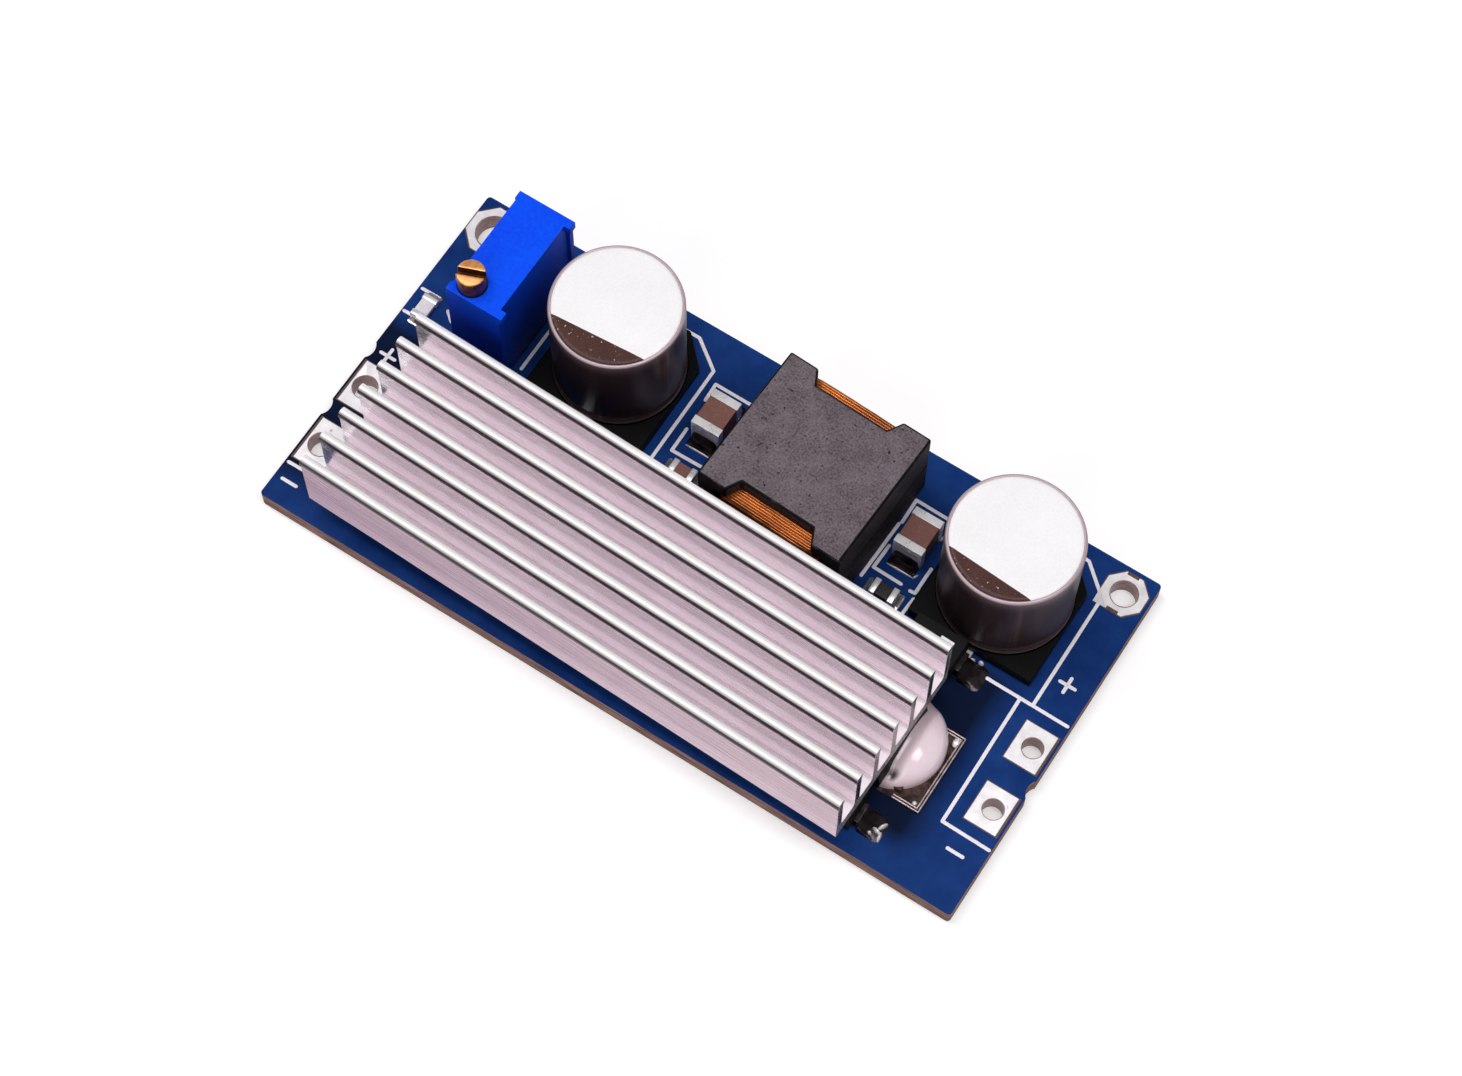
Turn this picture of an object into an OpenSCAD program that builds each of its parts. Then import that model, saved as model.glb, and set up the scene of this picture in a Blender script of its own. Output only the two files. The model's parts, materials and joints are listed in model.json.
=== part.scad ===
// Adjustable step-up converter module: a small circuit board that carries a finned heatsink,
// a power inductor, two electrolytic capacitors and a multi-turn trimmer.
// Origin: centre of the board's underside. +X runs from the input end to the output end,
// +Y from the heatsink side to the trimmer side, +Z up. Millimetres.

/* [Board] */
// Thickness of the board
board_t = 1.6; // [0.8:0.2:2.4]
// Radius of the board's corners
board_corner_r = 0.3; // [0.2:0.1:1.2]
// From the input edge to the trimmer
input_margin = 5.5; // [5:0.1:8]
// From the output capacitor's base to the output edge
output_margin = 4.1; // [3.9:0.1:8]
// From the heatsink's front corner to the front edge, less than zero where it hangs over
front_margin = -0.3; // [-0.5:0.1:2]
// From the capacitors' bases to the rear edge
rear_margin = 1.75; // [1:0.05:4]
// Width of a break-off scallop on an end edge
scallop_w = 1.5; // [1:0.1:1.8]
// Depth of a break-off scallop
scallop_depth = 0.3; // [0.2:0.05:0.4]

/* [Terminal lands] */
// Thickness of a tinned land
land_t = 0.06; // [0.03:0.01:0.12]
// Diameter of an input wire hole
input_hole_d = 2; // [1.2:0.1:2.2]
// Width of an input land, along X
input_land_w = 2.8; // [2.6:0.1:3.4]
// Length of an input land, along Y
input_land_l = 3.8; // [3:0.1:4]
// Distance between the input holes
input_pitch = 5.6; // [5.2:0.1:7]
// Diameter of an output wire hole
output_hole_d = 1.65; // [1:0.05:1.9]
// Width of an output land, along X
output_land_w = 2.6; // [2.5:0.1:3]
// Length of an output land, along Y
output_land_l = 3.3; // [2.6:0.1:3.6]
// Distance between the output holes
output_pitch = 5.45; // [5:0.05:6.5]
// Inset of the wire holes from the end edges
wire_hole_inset = 1.5; // [1.4:0.05:2]
// Diameter of the input end's mounting hole
mount_hole_input_d = 2.9; // [2:0.1:3.1]
// Diameter of the output end's mounting hole
mount_hole_output_d = 2.15; // [2:0.05:2.4]
// Width of the land ring round a mounting hole, at its narrowest
mount_land_ring = 0.6; // [0.4:0.05:0.7]

/* [Heatsink] */
// Length of the heatsink, along X
hs_l = 45.7; // [30:0.1:47]
// Height of the heatsink
hs_h = 6.4; // [4:0.1:9]
// Thickness of its base
hs_base_t = 1.4; // [1:0.1:2.5]
// Number of fins
fin_count = 7; // [5:1:7]
// Distance between fins
fin_pitch = 2.28; // [2:0.02:2.5]
// Thickness of a fin
fin_t = 0.6; // [0.4:0.05:0.7]
// Diameter of the round bead along a fin's tip
fin_bead_d = 0.84; // [0.72:0.02:1]
// Radius of the fillets at the fins' roots
fin_root_r = 0.3; // [0.15:0.05:0.35]
// Turn of the glued heatsink on the board, in degrees
hs_skew = 1.4; // [0:0.1:1.6]
// From the heatsink's output end to the output edge
hs_end_margin = 9.2; // [9:0.1:14]

/* [Regulator] */
// Length of the moulded body, along X
reg_l = 6.1; // [5:0.1:6.8]
// Width of the moulded body, along Y
reg_w = 6.5; // [5:0.1:7]
// Height of the body over the board
reg_h = 2.3; // [2.2:0.05:2.8]
// Thickness of the metal tab
tab_t = 0.5; // [0.4:0.05:0.6]
// Width of the metal tab
tab_w = 5.3; // [4:0.1:5.6]
// Reach of the tab out of the body
tab_reach = 1.4; // [1:0.1:1.8]
// Distance between leads
lead_pitch = 1.27; // [1.1:0.01:1.3]
// Width of a lead
lead_w = 0.6; // [0.4:0.05:0.7]
// Reach of a lead out of the body
lead_reach = 2.6; // [2.2:0.1:3]
// Thickness of the adhesive film under the heatsink
adhesive_t = 0.15; // [0.1:0.01:0.3]
// Radius of the adhesive bead that is pressed out at the heatsink's end
bead_r = 3.75; // [3.4:0.05:4.2]

/* [Rectifier diodes] */
// Length of a diode's body, along X
diode_l = 4.4; // [3.8:0.1:5]
// Width of a diode's body, along Y
diode_w = 2.6; // [2.2:0.1:2.8]
// Height of a diode over the board
diode_h = 2.2; // [1.9:0.05:2.2]
// Width of a diode's terminals
diode_lead_w = 1.6; // [1.2:0.1:2]
// Gap between the regulator's body and the rear diode's body
rear_diode_gap = 3.2; // [2.6:0.1:3.8]
// Gap between the regulator's body and the front diode's body
front_diode_gap = 1.2; // [0.8:0.1:1.8]

/* [Inductor] */
// Width of the ferrite core, along X
core_w = 12.2; // [11:0.1:13]
// Depth of the ferrite core, along Y
core_d = 11.75; // [11:0.05:13]
// Height of the closed core
core_h = 7.9; // [6:0.1:9]
// Thickness of the core's plates
core_plate_t = 1.3; // [1.2:0.1:1.7]
// Thickness of the core's side walls
core_wall_t = 1.5; // [1.2:0.1:1.8]
// Width of the plate notches at their mouth
notch_mouth_w = 7.4; // [6.6:0.1:8]
// Width of the plate notches at their floor
notch_floor_w = 6.1; // [5:0.1:6.4]
// Depth of the plate notches
notch_depth = 1.2; // [0.9:0.05:1.4]
// Number of turns in the winding
turn_count = 8; // [5:1:8]
// Height of one turn's copper
turn_t = 0.5; // [0.4:0.05:0.55]
// Turn of the soldered inductor on the board, in degrees
core_skew = 2.4; // [0:0.1:3]

/* [Electrolytic capacitors] */
// Diameter of the can
can_d = 10; // [8:0.1:10.2]
// Height of the capacitor over the board
can_h = 10.4; // [8:0.1:13]
// Side of the square plastic base
can_base_w = 10.3; // [10.3:0.1:11]
// Thickness of the plastic base
can_base_t = 1.1; // [0.9:0.1:1.6]
// Cut on the base's two positive corners
can_base_chamfer = 2.2; // [1.6:0.1:2.4]
// Radius of the can's top edge
can_edge_r = 0.6; // [0.3:0.05:0.9]
// Radius of the rolled groove above the base
can_groove_r = 0.45; // [0.3:0.05:0.6]
// Width of a flat lead
can_lead_w = 0.9; // [0.7:0.05:1.2]

/* [Ceramic capacitors and chips] */
// Length of a large ceramic capacitor, along Y
mlcc_l = 3.2; // [2.8:0.1:3.6]
// Width of a large ceramic capacitor, along X
mlcc_w = 2.4; // [2:0.1:2.6]
// Height of a large ceramic capacitor
mlcc_h = 2.4; // [1.6:0.1:2.6]
// Length of a small chip part
chip_l = 2; // [1.6:0.1:2.2]
// Width of a small chip part
chip_w = 1.25; // [0.8:0.05:1.4]
// Height of a small chip part
chip_h = 0.6; // [0.4:0.05:0.8]
// Thickness of the tinned caps on chip ends
end_cap_t = 0.06; // [0.04:0.01:0.1]

/* [Trimmer] */
// Width of the housing, along X
trim_w = 4.83; // [4.6:0.01:5.1]
// Length of the housing, along Y
trim_l = 9.53; // [9:0.01:10.2]
// Height of the housing
trim_h = 10.03; // [9.8:0.01:11]
// Stand-off of the housing over the board
trim_standoff = 0.4; // [0.3:0.05:0.6]
// Wall of the housing
trim_wall = 0.4; // [0.35:0.05:0.5]
// Depth of the recess in the housing's output side
trim_recess = 0.5; // [0.3:0.05:0.55]
// Diameter of the adjusting screw's head
screw_head_d = 2.2; // [2:0.05:2.4]
// Height of the head over the housing
screw_head_h = 1.75; // [1:0.05:2]
// Diameter of the adjusting screw's shank
screw_shank_d = 1.1; // [0.9:0.05:1.2]
// Width of the screwdriver slot
slot_w = 0.56; // [0.4:0.02:0.7]
// Depth of the screwdriver slot
slot_depth = 0.76; // [0.5:0.02:0.9]
// Direction of the slot at rest, in degrees from +X
slot_angle = 21; // [0:1:90]
// Travel of the wiper carriage, end to end
carriage_travel = 5; // [4:0.1:5]
// Distance between the pins
pin_pitch = 2.54; // [2.3:0.02:2.6]
// Diameter of a pin
pin_d = 0.5; // [0.4:0.05:0.6]

/* [Hidden] */
$fn = 64;

// Running clearance of the trimmer's moving pieces
running_gap = 0.05;
// Overshoot of a cut past the face that it opens
eps = 0.05;

// Layout along X, counted from the input edge
trimmer_gap = 1.1;
input_ceramic_gap = 2.2;
inductor_input_gap = 1.6;
inductor_output_gap = 0.75;
output_ceramic_gap = 1.05;
core_span_x = core_w * cos(core_skew) + core_d * sin(core_skew);
core_span_y = core_d * cos(core_skew) + core_w * sin(core_skew);
trim_left = input_margin;
can_in_left = trim_left + trim_w + trimmer_gap;
mlcc_in_left = can_in_left + can_base_w + input_ceramic_gap;
core_left = mlcc_in_left + mlcc_w + inductor_input_gap;
mlcc_out_left = core_left + core_span_x + inductor_output_gap;
can_out_left = mlcc_out_left + mlcc_w + output_ceramic_gap;
board_l = can_out_left + can_base_w + output_margin;

// Layout along Y, counted from the regulator's centre line
hs_offset = -0.9;
hs_w = (fin_count - 1) * fin_pitch + fin_bead_d;
hs_span_y = hs_w * cos(hs_skew) + hs_l * sin(hs_skew);
hs_front = hs_offset - hs_span_y / 2;
hs_back = hs_offset + hs_span_y / 2;
rear_diode_y = reg_w / 2 + rear_diode_gap + diode_w / 2;
front_diode_y = -reg_w / 2 - front_diode_gap - diode_w / 2;
diode_edge_margin = 0.3;
diode_can_gap = 0.15;
hs_can_gap = 2;
core_rear_margin = 1;
hs_core_gap = 0.85;
front_edge = min(hs_front - front_margin, front_diode_y - diode_w / 2 - diode_edge_margin);
can_front = max(rear_diode_y + diode_w / 2 + diode_can_gap, hs_back + hs_can_gap);
hs_centre_x = board_l - hs_end_margin - hs_l / 2;
core_centre_x = core_left + core_span_x / 2;
hs_back_at_core = hs_offset + hs_w / 2 / cos(hs_skew) - (core_centre_x - hs_centre_x) * tan(hs_skew);
core_front = hs_back_at_core + hs_core_gap - core_w / 2 * (sin(core_skew) - sin(hs_skew));
rear_edge = max(can_front + can_base_w + rear_margin, core_front + core_span_y + core_rear_margin);
board_w = rear_edge - front_edge;
mid_y = (front_edge + rear_edge) / 2;

// Places in the board's own frame
top_z = board_t;
hs_x = hs_centre_x - board_l / 2;
hs_end_x = board_l / 2 - hs_end_margin;
hs_y = hs_offset - mid_y;
hs_z = top_z + reg_h + adhesive_t;
reg_y = -mid_y;
reg_under_end = 0.2;
reg_x = hs_end_x + reg_under_end - reg_l / 2;
bead_back = 0.8;
bead_shift = 0.6;
diode_under_end = 0.1;
diode_x = hs_end_x + diode_under_end - diode_l / 2;
can_y = can_front + can_base_w / 2 - mid_y;
can_in_x = can_in_left + can_base_w / 2 - board_l / 2;
can_out_x = can_out_left + can_base_w / 2 - board_l / 2;
mlcc_in_x = mlcc_in_left + mlcc_w / 2 - board_l / 2;
mlcc_out_x = mlcc_out_left + mlcc_w / 2 - board_l / 2;
core_x = core_centre_x - board_l / 2;
core_y = core_front + core_span_y / 2 - mid_y;
chip_gap = 2.4;
chip_y = can_y - mlcc_l / 2 - chip_gap - chip_w / 2;
trim_rear_margin = 2.9;
trim_x = trim_left + trim_w / 2 - board_l / 2;
trim_y = board_w / 2 - trim_rear_margin - trim_l / 2;
trim_z = top_z + trim_standoff;

// Plated holes and lands
land_edge_inset = 0.35;
input_pair_y = -6.4;
output_pair_y = -3.8;
input_hole_x = -board_l / 2 + wire_hole_inset;
output_hole_x = board_l / 2 - wire_hole_inset;
input_land_x = -board_l / 2 + land_edge_inset + input_land_w / 2;
output_land_x = board_l / 2 - land_edge_inset - output_land_w / 2;
input_hole_ys = [input_pair_y - input_pitch / 2, input_pair_y + input_pitch / 2];
output_hole_ys = [output_pair_y - output_pitch / 2, output_pair_y + output_pitch / 2];
mount_input_inset = [2.15, 2.45];
mount_output_inset = [2, 2.1];
mount_input_xy = [-board_l / 2 + mount_input_inset.x, board_w / 2 - mount_input_inset.y];
mount_output_xy = [board_l / 2 - mount_output_inset.x, board_w / 2 - mount_output_inset.y];
mount_land_chamfer = 0.3;
tab_land_side = 0.65;
tab_land_w = tab_w + 2 * tab_land_side;
tab_land_reach = 1.85;
tab_land_end = hs_end_x + reg_under_end + tab_reach + tab_land_reach;
tab_rim_w = 0.32;
tab_rim_h = 0.2;
tab_rim_l = 2.3;
tab_corner_r = 0.6;
diode_land_reach = 1.75;
diode_land_l = 2.4;

// Trimmer pieces, in the housing's frame: centred, its underside at zero
screw_inset = [1.45, 1.3];
screw_x = -trim_w / 2 + screw_inset.x;
screw_y = -trim_l / 2 + screw_inset.y;
trim_base_t = 1.2;
trim_roof_t = 1.5;
cavity_w = trim_w - 2 * trim_wall - trim_recess;
cavity_l = trim_l - 2 * trim_wall;
cavity_x = -trim_recess / 2;
cavity_h = trim_h - trim_roof_t - trim_base_t;
head_recess_depth = 0.3;
seal_section_r = 0.2;
seal_pocket_depth = 0.6;
screw_foot_depth = 0.4;
element_t = 0.6;
carriage_h = 2;
carriage_l = 4.2;
carriage_mid_z = trim_base_t + cavity_h / 2;
carriage_w = cavity_w - element_t - 0.4;
wiper_t = 0.15;
wiper_w = 0.9;
pin_x = trim_w / 2 - trim_wall - trim_recess - element_t / 2;
pin_hole_d = pin_d + 0.4;
pin_ys = [-pin_pitch, 0, pin_pitch];

// A plate with rounded upright corners, centred on X and Y, its underside at zero
module rounded_plate(w, d, t, r) {
    translate([-w / 2 + r, -d / 2, 0]) cube([w - 2 * r, d, t]);
    translate([-w / 2, -d / 2 + r, 0]) cube([w, d - 2 * r, t]);
    for (sx = [-1, 1], sy = [-1, 1])
        translate([sx * (w / 2 - r), sy * (d / 2 - r), 0]) cylinder(r = r, h = t);
}

// A box centred on X and Y, its underside at zero
module block(w, d, h) {
    translate([-w / 2, -d / 2, 0]) cube([w, d, h]);
}

// A square outline with four equal corner cuts
module cut_square(w, d, c) {
    polygon([
        [-w / 2 + c, -d / 2], [w / 2 - c, -d / 2], [w / 2, -d / 2 + c], [w / 2, d / 2 - c],
        [w / 2 - c, d / 2], [-w / 2 + c, d / 2], [-w / 2, d / 2 - c], [-w / 2, -d / 2 + c]
    ]);
}

// An outline in Y and Z, drawn out along X and centred
module along_x(l) {
    rotate([90, 0, 90]) translate([0, 0, -l / 2]) linear_extrude(l) children();
}

// An outline in X and Z, drawn out along Y and centred
module along_y(l) {
    rotate([90, 0, 0]) translate([0, 0, -l / 2]) linear_extrude(l) children();
}

// The outlines of the terminal lands
module input_land_outline() {
    square([input_land_w, input_land_l], center = true);
}

module output_land_outline() {
    square([output_land_w, output_land_l], center = true);
}

module mount_land_outline(hole_d) {
    side = hole_d + 2 * mount_land_ring;
    cut_square(side, side, side * mount_land_chamfer);
}

// The lands of a plated hole on both faces; the lower one is let into the board
module plated_land(hole_d, hole_xy, land_xy) {
    difference() {
        for (z = [0, top_z])
            translate([land_xy.x, land_xy.y, z]) linear_extrude(land_t) children();
        translate([hole_xy.x, hole_xy.y, -eps]) cylinder(d = hole_d, h = top_z + land_t + 2 * eps);
    }
}

// The room that a plated hole and its lower land take out of the board
module plated_room(hole_d, hole_xy, land_xy) {
    translate([land_xy.x, land_xy.y, -eps]) linear_extrude(land_t + eps) children();
    translate([hole_xy.x, hole_xy.y, -eps]) cylinder(d = hole_d, h = top_z + 2 * eps);
}

// A shallow round bite out of an end edge; side is -1 at the input end and 1 at the output end
module scallop(side, y) {
    bite_r = (scallop_w * scallop_w / 4 + scallop_depth * scallop_depth) / (2 * scallop_depth);
    translate([side * (board_l / 2 + bite_r - scallop_depth), y, -eps]) cylinder(r = bite_r, h = top_z + 2 * eps);
}

module circuit_board() {
    color([0.09, 0.17, 0.36]) difference() {
        rounded_plate(board_l, board_w, board_t, board_corner_r);
        for (y = input_hole_ys)
            plated_room(input_hole_d, [input_hole_x, y], [input_land_x, y]) input_land_outline();
        for (y = output_hole_ys)
            plated_room(output_hole_d, [output_hole_x, y], [output_land_x, y]) output_land_outline();
        plated_room(mount_hole_input_d, mount_input_xy, mount_input_xy) mount_land_outline(mount_hole_input_d);
        plated_room(mount_hole_output_d, mount_output_xy, mount_output_xy) mount_land_outline(mount_hole_output_d);
        for (y = pin_ys)
            translate([trim_x + pin_x, trim_y + y, -eps]) cylinder(d = pin_hole_d, h = top_z + 2 * eps);
        scallop(-1, input_pair_y);
        scallop(-1, input_pair_y + input_pitch);
        scallop(1, output_pair_y);
    }
}

module input_lands() {
    color([0.86, 0.85, 0.86]) for (y = input_hole_ys)
        plated_land(input_hole_d, [input_hole_x, y], [input_land_x, y]) input_land_outline();
}

module output_lands() {
    color([0.86, 0.85, 0.86]) for (y = output_hole_ys)
        plated_land(output_hole_d, [output_hole_x, y], [output_land_x, y]) output_land_outline();
}

module mounting_lands() {
    color([0.86, 0.85, 0.86]) {
        plated_land(mount_hole_input_d, mount_input_xy, mount_input_xy) mount_land_outline(mount_hole_input_d);
        plated_land(mount_hole_output_d, mount_output_xy, mount_output_xy) mount_land_outline(mount_hole_output_d);
    }
}

// The soldered lands of the regulator's tab, with a solder ridge round its open end, and of the diodes
module power_lands() {
    tab_land_l = tab_land_end - reg_x;
    color([0.82, 0.81, 0.82]) {
        translate([reg_x + tab_land_l / 2, reg_y, top_z])
            rounded_plate(tab_land_l, tab_land_w, land_t, tab_corner_r);
        translate([reg_x + tab_land_l / 2, reg_y, top_z]) difference() {
            rounded_plate(tab_land_l, tab_land_w, land_t + tab_rim_h, tab_corner_r);
            translate([0, 0, -eps]) rounded_plate(tab_land_l - 2 * tab_rim_w, tab_land_w - 2 * tab_rim_w,
                land_t + tab_rim_h + 2 * eps, tab_corner_r - tab_rim_w);
            translate([-tab_rim_l, 0, -eps]) block(tab_land_l, tab_land_w + 2 * eps, land_t + tab_rim_h + 2 * eps);
        }
        for (y = [front_diode_y, rear_diode_y], end = [-1, 1]) {
            land_mid = diode_l / 2 + diode_land_reach - diode_land_l / 2;
            translate([diode_x + end * land_mid, reg_y + y, top_z])
                block(diode_land_l, diode_lead_w, land_t);
        }
    }
}

// One fin standing on the base, with a round bead along its tip
module fin_outline() {
    bead_z = hs_h - fin_bead_d / 2;
    translate([-fin_t / 2, hs_base_t - eps]) square([fin_t, bead_z - hs_base_t + eps]);
    translate([0, bead_z]) circle(d = fin_bead_d);
}

// The fillet between a fin's side and the base; side is -1 or 1
module fin_root_outline(side) {
    corner = side * fin_t / 2;
    difference() {
        translate([corner + (side > 0 ? -eps : -fin_root_r), hs_base_t - eps])
            square([fin_root_r + eps, fin_root_r + eps]);
        translate([corner + side * fin_root_r, hs_base_t + fin_root_r]) circle(r = fin_root_r);
    }
}

module heatsink_outline() {
    base_w = (fin_count - 1) * fin_pitch + fin_t;
    translate([-base_w / 2, 0]) square([base_w, hs_base_t]);
    for (i = [0 : fin_count - 1])
        translate([(i - (fin_count - 1) / 2) * fin_pitch, 0]) {
            fin_outline();
            if (i > 0) fin_root_outline(-1);
            if (i < fin_count - 1) fin_root_outline(1);
        }
}

module heatsink() {
    color([0.9, 0.86, 0.88]) translate([hs_x, hs_y, hs_z]) rotate([0, 0, -hs_skew])
        along_x(hs_l) heatsink_outline();
}

// The room over the regulator that its body and tab take
module regulator_room() {
    translate([reg_x, reg_y, top_z]) block(reg_l, reg_w, reg_h);
    translate([reg_x + reg_l / 2 + tab_reach / 2, reg_y, top_z]) block(tab_reach, tab_w, land_t + tab_t);
}

// Film between regulator and heatsink, and the bead that it presses out at the heatsink's end
module thermal_adhesive() {
    bead_h = reg_h + adhesive_t - land_t;
    bead_x = hs_end_x - bead_back;
    bead_y = reg_y + bead_shift;
    color([0.94, 0.9, 0.92]) difference() {
        union() {
            translate([reg_x, reg_y, top_z + reg_h]) block(reg_l, reg_w, adhesive_t);
            translate([bead_x, bead_y, top_z + land_t]) rotate_extrude() {
                square([bead_r - bead_h / 2, bead_h]);
                intersection() {
                    translate([bead_r - bead_h / 2, bead_h / 2]) circle(d = bead_h);
                    translate([bead_r - bead_h / 2, 0]) square([bead_h, bead_h]);
                }
            }
        }
        regulator_room();
    }
}

module regulator_body() {
    draft = 0.18;
    seam_z = 1.1;
    color([0.08, 0.08, 0.09]) difference() {
        translate([reg_x, reg_y, top_z]) along_y(reg_w) polygon([
            [-reg_l / 2 + draft, land_t], [reg_l / 2 - draft, land_t], [reg_l / 2, seam_z],
            [reg_l / 2 - draft, reg_h], [-reg_l / 2 + draft, reg_h], [-reg_l / 2, seam_z]
        ]);
        translate([reg_x, reg_y, top_z]) regulator_tab_shape();
        for (i = [-2, -1, 1, 2])
            translate([reg_x, reg_y + i * lead_pitch, top_z]) regulator_lead_shape();
    }
}

// The tab runs under the whole body and out at the heatsink's end
module regulator_tab_shape() {
    root_gap = 1.4;
    hidden_l = reg_l - root_gap;
    translate([reg_l / 2 + tab_reach - (hidden_l + tab_reach) / 2, 0, land_t])
        block(hidden_l + tab_reach, tab_w, tab_t);
}

// One gull-wing lead: root in the body, a step down, and a foot on the board
module regulator_lead_shape() {
    lead_t = 0.5;
    root_l = 0.6;
    shoulder = 0.7;
    root_z = 0.95;
    edge = -reg_l / 2;
    along_y(lead_w) polygon([
        [edge + root_l, root_z], [edge + root_l, root_z + lead_t], [edge - shoulder, root_z + lead_t],
        [edge - shoulder - lead_t, lead_t], [edge - lead_reach, lead_t], [edge - lead_reach, 0],
        [edge - shoulder - lead_t / 2, 0], [edge - shoulder + lead_t / 2, root_z]
    ]);
}

module regulator_tab() {
    color([0.78, 0.76, 0.76]) translate([reg_x, reg_y, top_z]) regulator_tab_shape();
}

module regulator_leads() {
    color([0.78, 0.76, 0.76]) for (i = [-2, -1, 1, 2])
        translate([reg_x, reg_y + i * lead_pitch, top_z]) regulator_lead_shape();
}

// A moulded diode body, drafted from its seam, on the board's face
module diode_body_shape() {
    draft = 0.15;
    foot_z = 0.3;
    seam_z = 1.2;
    along_y(diode_w) polygon([
        [-diode_l / 2 + draft, foot_z], [diode_l / 2 - draft, foot_z], [diode_l / 2, seam_z],
        [diode_l / 2 - draft, diode_h], [-diode_l / 2 + draft, diode_h], [-diode_l / 2, seam_z]
    ]);
}

// One J-lead: out of the body's seam, down its end and back under it; end is -1 or 1
module diode_lead_shape(end) {
    lead_t = 0.22;
    stand_off = 0.35;
    root_z = 1.2;
    foot_l = 1.2;
    root_l = 0.5;
    out = diode_l / 2 + stand_off;
    along_y(diode_lead_w) polygon([for (p = [
        [diode_l / 2 - root_l, root_z], [diode_l / 2 - root_l, root_z + lead_t], [out, root_z + lead_t],
        [out, land_t], [out - foot_l, land_t], [out - foot_l, land_t + lead_t],
        [out - lead_t, land_t + lead_t], [out - lead_t, root_z]
    ]) [end * p.x, p.y]]);
}

module diode_body(y) {
    color([0.1, 0.1, 0.11]) translate([diode_x, reg_y + y, top_z]) difference() {
        diode_body_shape();
        for (end = [-1, 1]) diode_lead_shape(end);
    }
}

module diode_terminals(y) {
    color([0.74, 0.72, 0.72]) translate([diode_x, reg_y + y, top_z])
        for (end = [-1, 1]) diode_lead_shape(end);
}

module rear_diode_body() { diode_body(rear_diode_y); }
module rear_diode_terminals() { diode_terminals(rear_diode_y); }
module front_diode_body() { diode_body(front_diode_y); }
module front_diode_terminals() { diode_terminals(front_diode_y); }

// A core plate with a trapezoid notch in its front and rear edges
module core_plate_outline() {
    w = core_w / 2;
    d = core_d / 2;
    m = notch_mouth_w / 2;
    f = notch_floor_w / 2;
    polygon([
        [-w, -d], [-m, -d], [-f, -d + notch_depth], [f, -d + notch_depth], [m, -d], [w, -d],
        [w, d], [m, d], [f, d - notch_depth], [-f, d - notch_depth], [-m, d], [-w, d]
    ]);
}

core_post_w = 4.4;
core_post_d = 4.2;
core_post_r = 1.2;
coil_gap = 0.15;
coil_inner_w = core_post_w + 2 * coil_gap;
coil_inner_d = core_post_d + 2 * coil_gap;
coil_inner_r = core_post_r + coil_gap;
coil_outer_w = core_w - 2 * core_wall_t - 2 * coil_gap;
coil_mouth_gap = 0.05;
coil_outer_d = core_d - 2 * coil_mouth_gap;
coil_outer_r = 1;

// One core half, its plate down: plate, two side walls and the middle post, up to the joint
module core_half() {
    half_h = core_h / 2;
    linear_extrude(core_plate_t) core_plate_outline();
    for (side = [-1, 1])
        translate([side * (core_w - core_wall_t) / 2, 0, 0]) block(core_wall_t, core_d, half_h);
    rounded_plate(core_post_w, core_post_d, half_h, core_post_r);
}

module inductor_frame() {
    translate([core_x, core_y, top_z]) rotate([0, 0, -core_skew]) children();
}

module inductor_core_lower() {
    color([0.3, 0.28, 0.3]) inductor_frame() core_half();
}

module inductor_core_upper() {
    color([0.36, 0.33, 0.36]) inductor_frame() translate([0, 0, core_h]) rotate([180, 0, 0]) core_half();
}

// One flat turn of the winding, its underside at zero
module coil_turn() {
    difference() {
        rounded_plate(coil_outer_w, coil_outer_d, turn_t, coil_outer_r);
        translate([0, 0, -eps]) rounded_plate(coil_inner_w, coil_inner_d, turn_t + 2 * eps, coil_inner_r);
    }
}

// Flat turns round the post, a step from each to the next, and two tails down to the board
module inductor_winding() {
    window_h = core_h - 2 * core_plate_t;
    turn_pitch = (window_h - turn_t - 2 * coil_gap) / (turn_count - 1);
    coil_z = core_plate_t + coil_gap;
    step_w = 0.8;
    step_x = coil_inner_w / 2 + step_w;
    step_l = coil_outer_d / 2 - coil_inner_d / 2;
    tail_t = 0.5;
    tail_w = 1.6;
    tail_x = (notch_floor_w - tail_w) / 2 - coil_gap;
    tail_y = core_d / 2 - notch_depth + coil_gap + tail_t / 2;
    color([0.75, 0.42, 0.18]) inductor_frame() {
        for (i = [0 : turn_count - 1])
            translate([0, 0, coil_z + i * turn_pitch]) coil_turn();
        for (i = [0 : turn_count - 2])
            translate([(i % 2 == 0 ? 1 : -1) * step_x, 0, coil_z + i * turn_pitch + turn_t / 2])
                block(step_w, step_l, turn_pitch);
        translate([tail_x, tail_y, 0]) block(tail_w, tail_t, coil_z + turn_t / 2);
        translate([-tail_x, -tail_y, 0]) block(tail_w, tail_t, coil_z + turn_t / 2);
    }
}

can_seat_depth = 0.3;
can_lead_t = 0.25;
can_lead_reach = 0.55;
can_lead_root = 1.5;
can_base_lift = 0.02;
can_foot_z = can_base_t - can_seat_depth;

// Half section of the drawn can: rounded top edge, and a rolled groove above the base
module can_section() {
    body_h = can_h - can_foot_z;
    groove_rise = 1.3;
    groove_z = can_base_t + groove_rise - can_foot_z;
    difference() {
        union() {
            square([can_d / 2, body_h - can_edge_r]);
            square([can_d / 2 - can_edge_r, body_h]);
            translate([can_d / 2 - can_edge_r, body_h - can_edge_r]) circle(r = can_edge_r);
        }
        translate([can_d / 2 + can_groove_r * 0.4, groove_z]) circle(r = can_groove_r);
    }
}

module can(x) {
    color([0.75, 0.73, 0.74]) translate([x, can_y, top_z + can_foot_z]) rotate_extrude() can_section();
}

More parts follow.
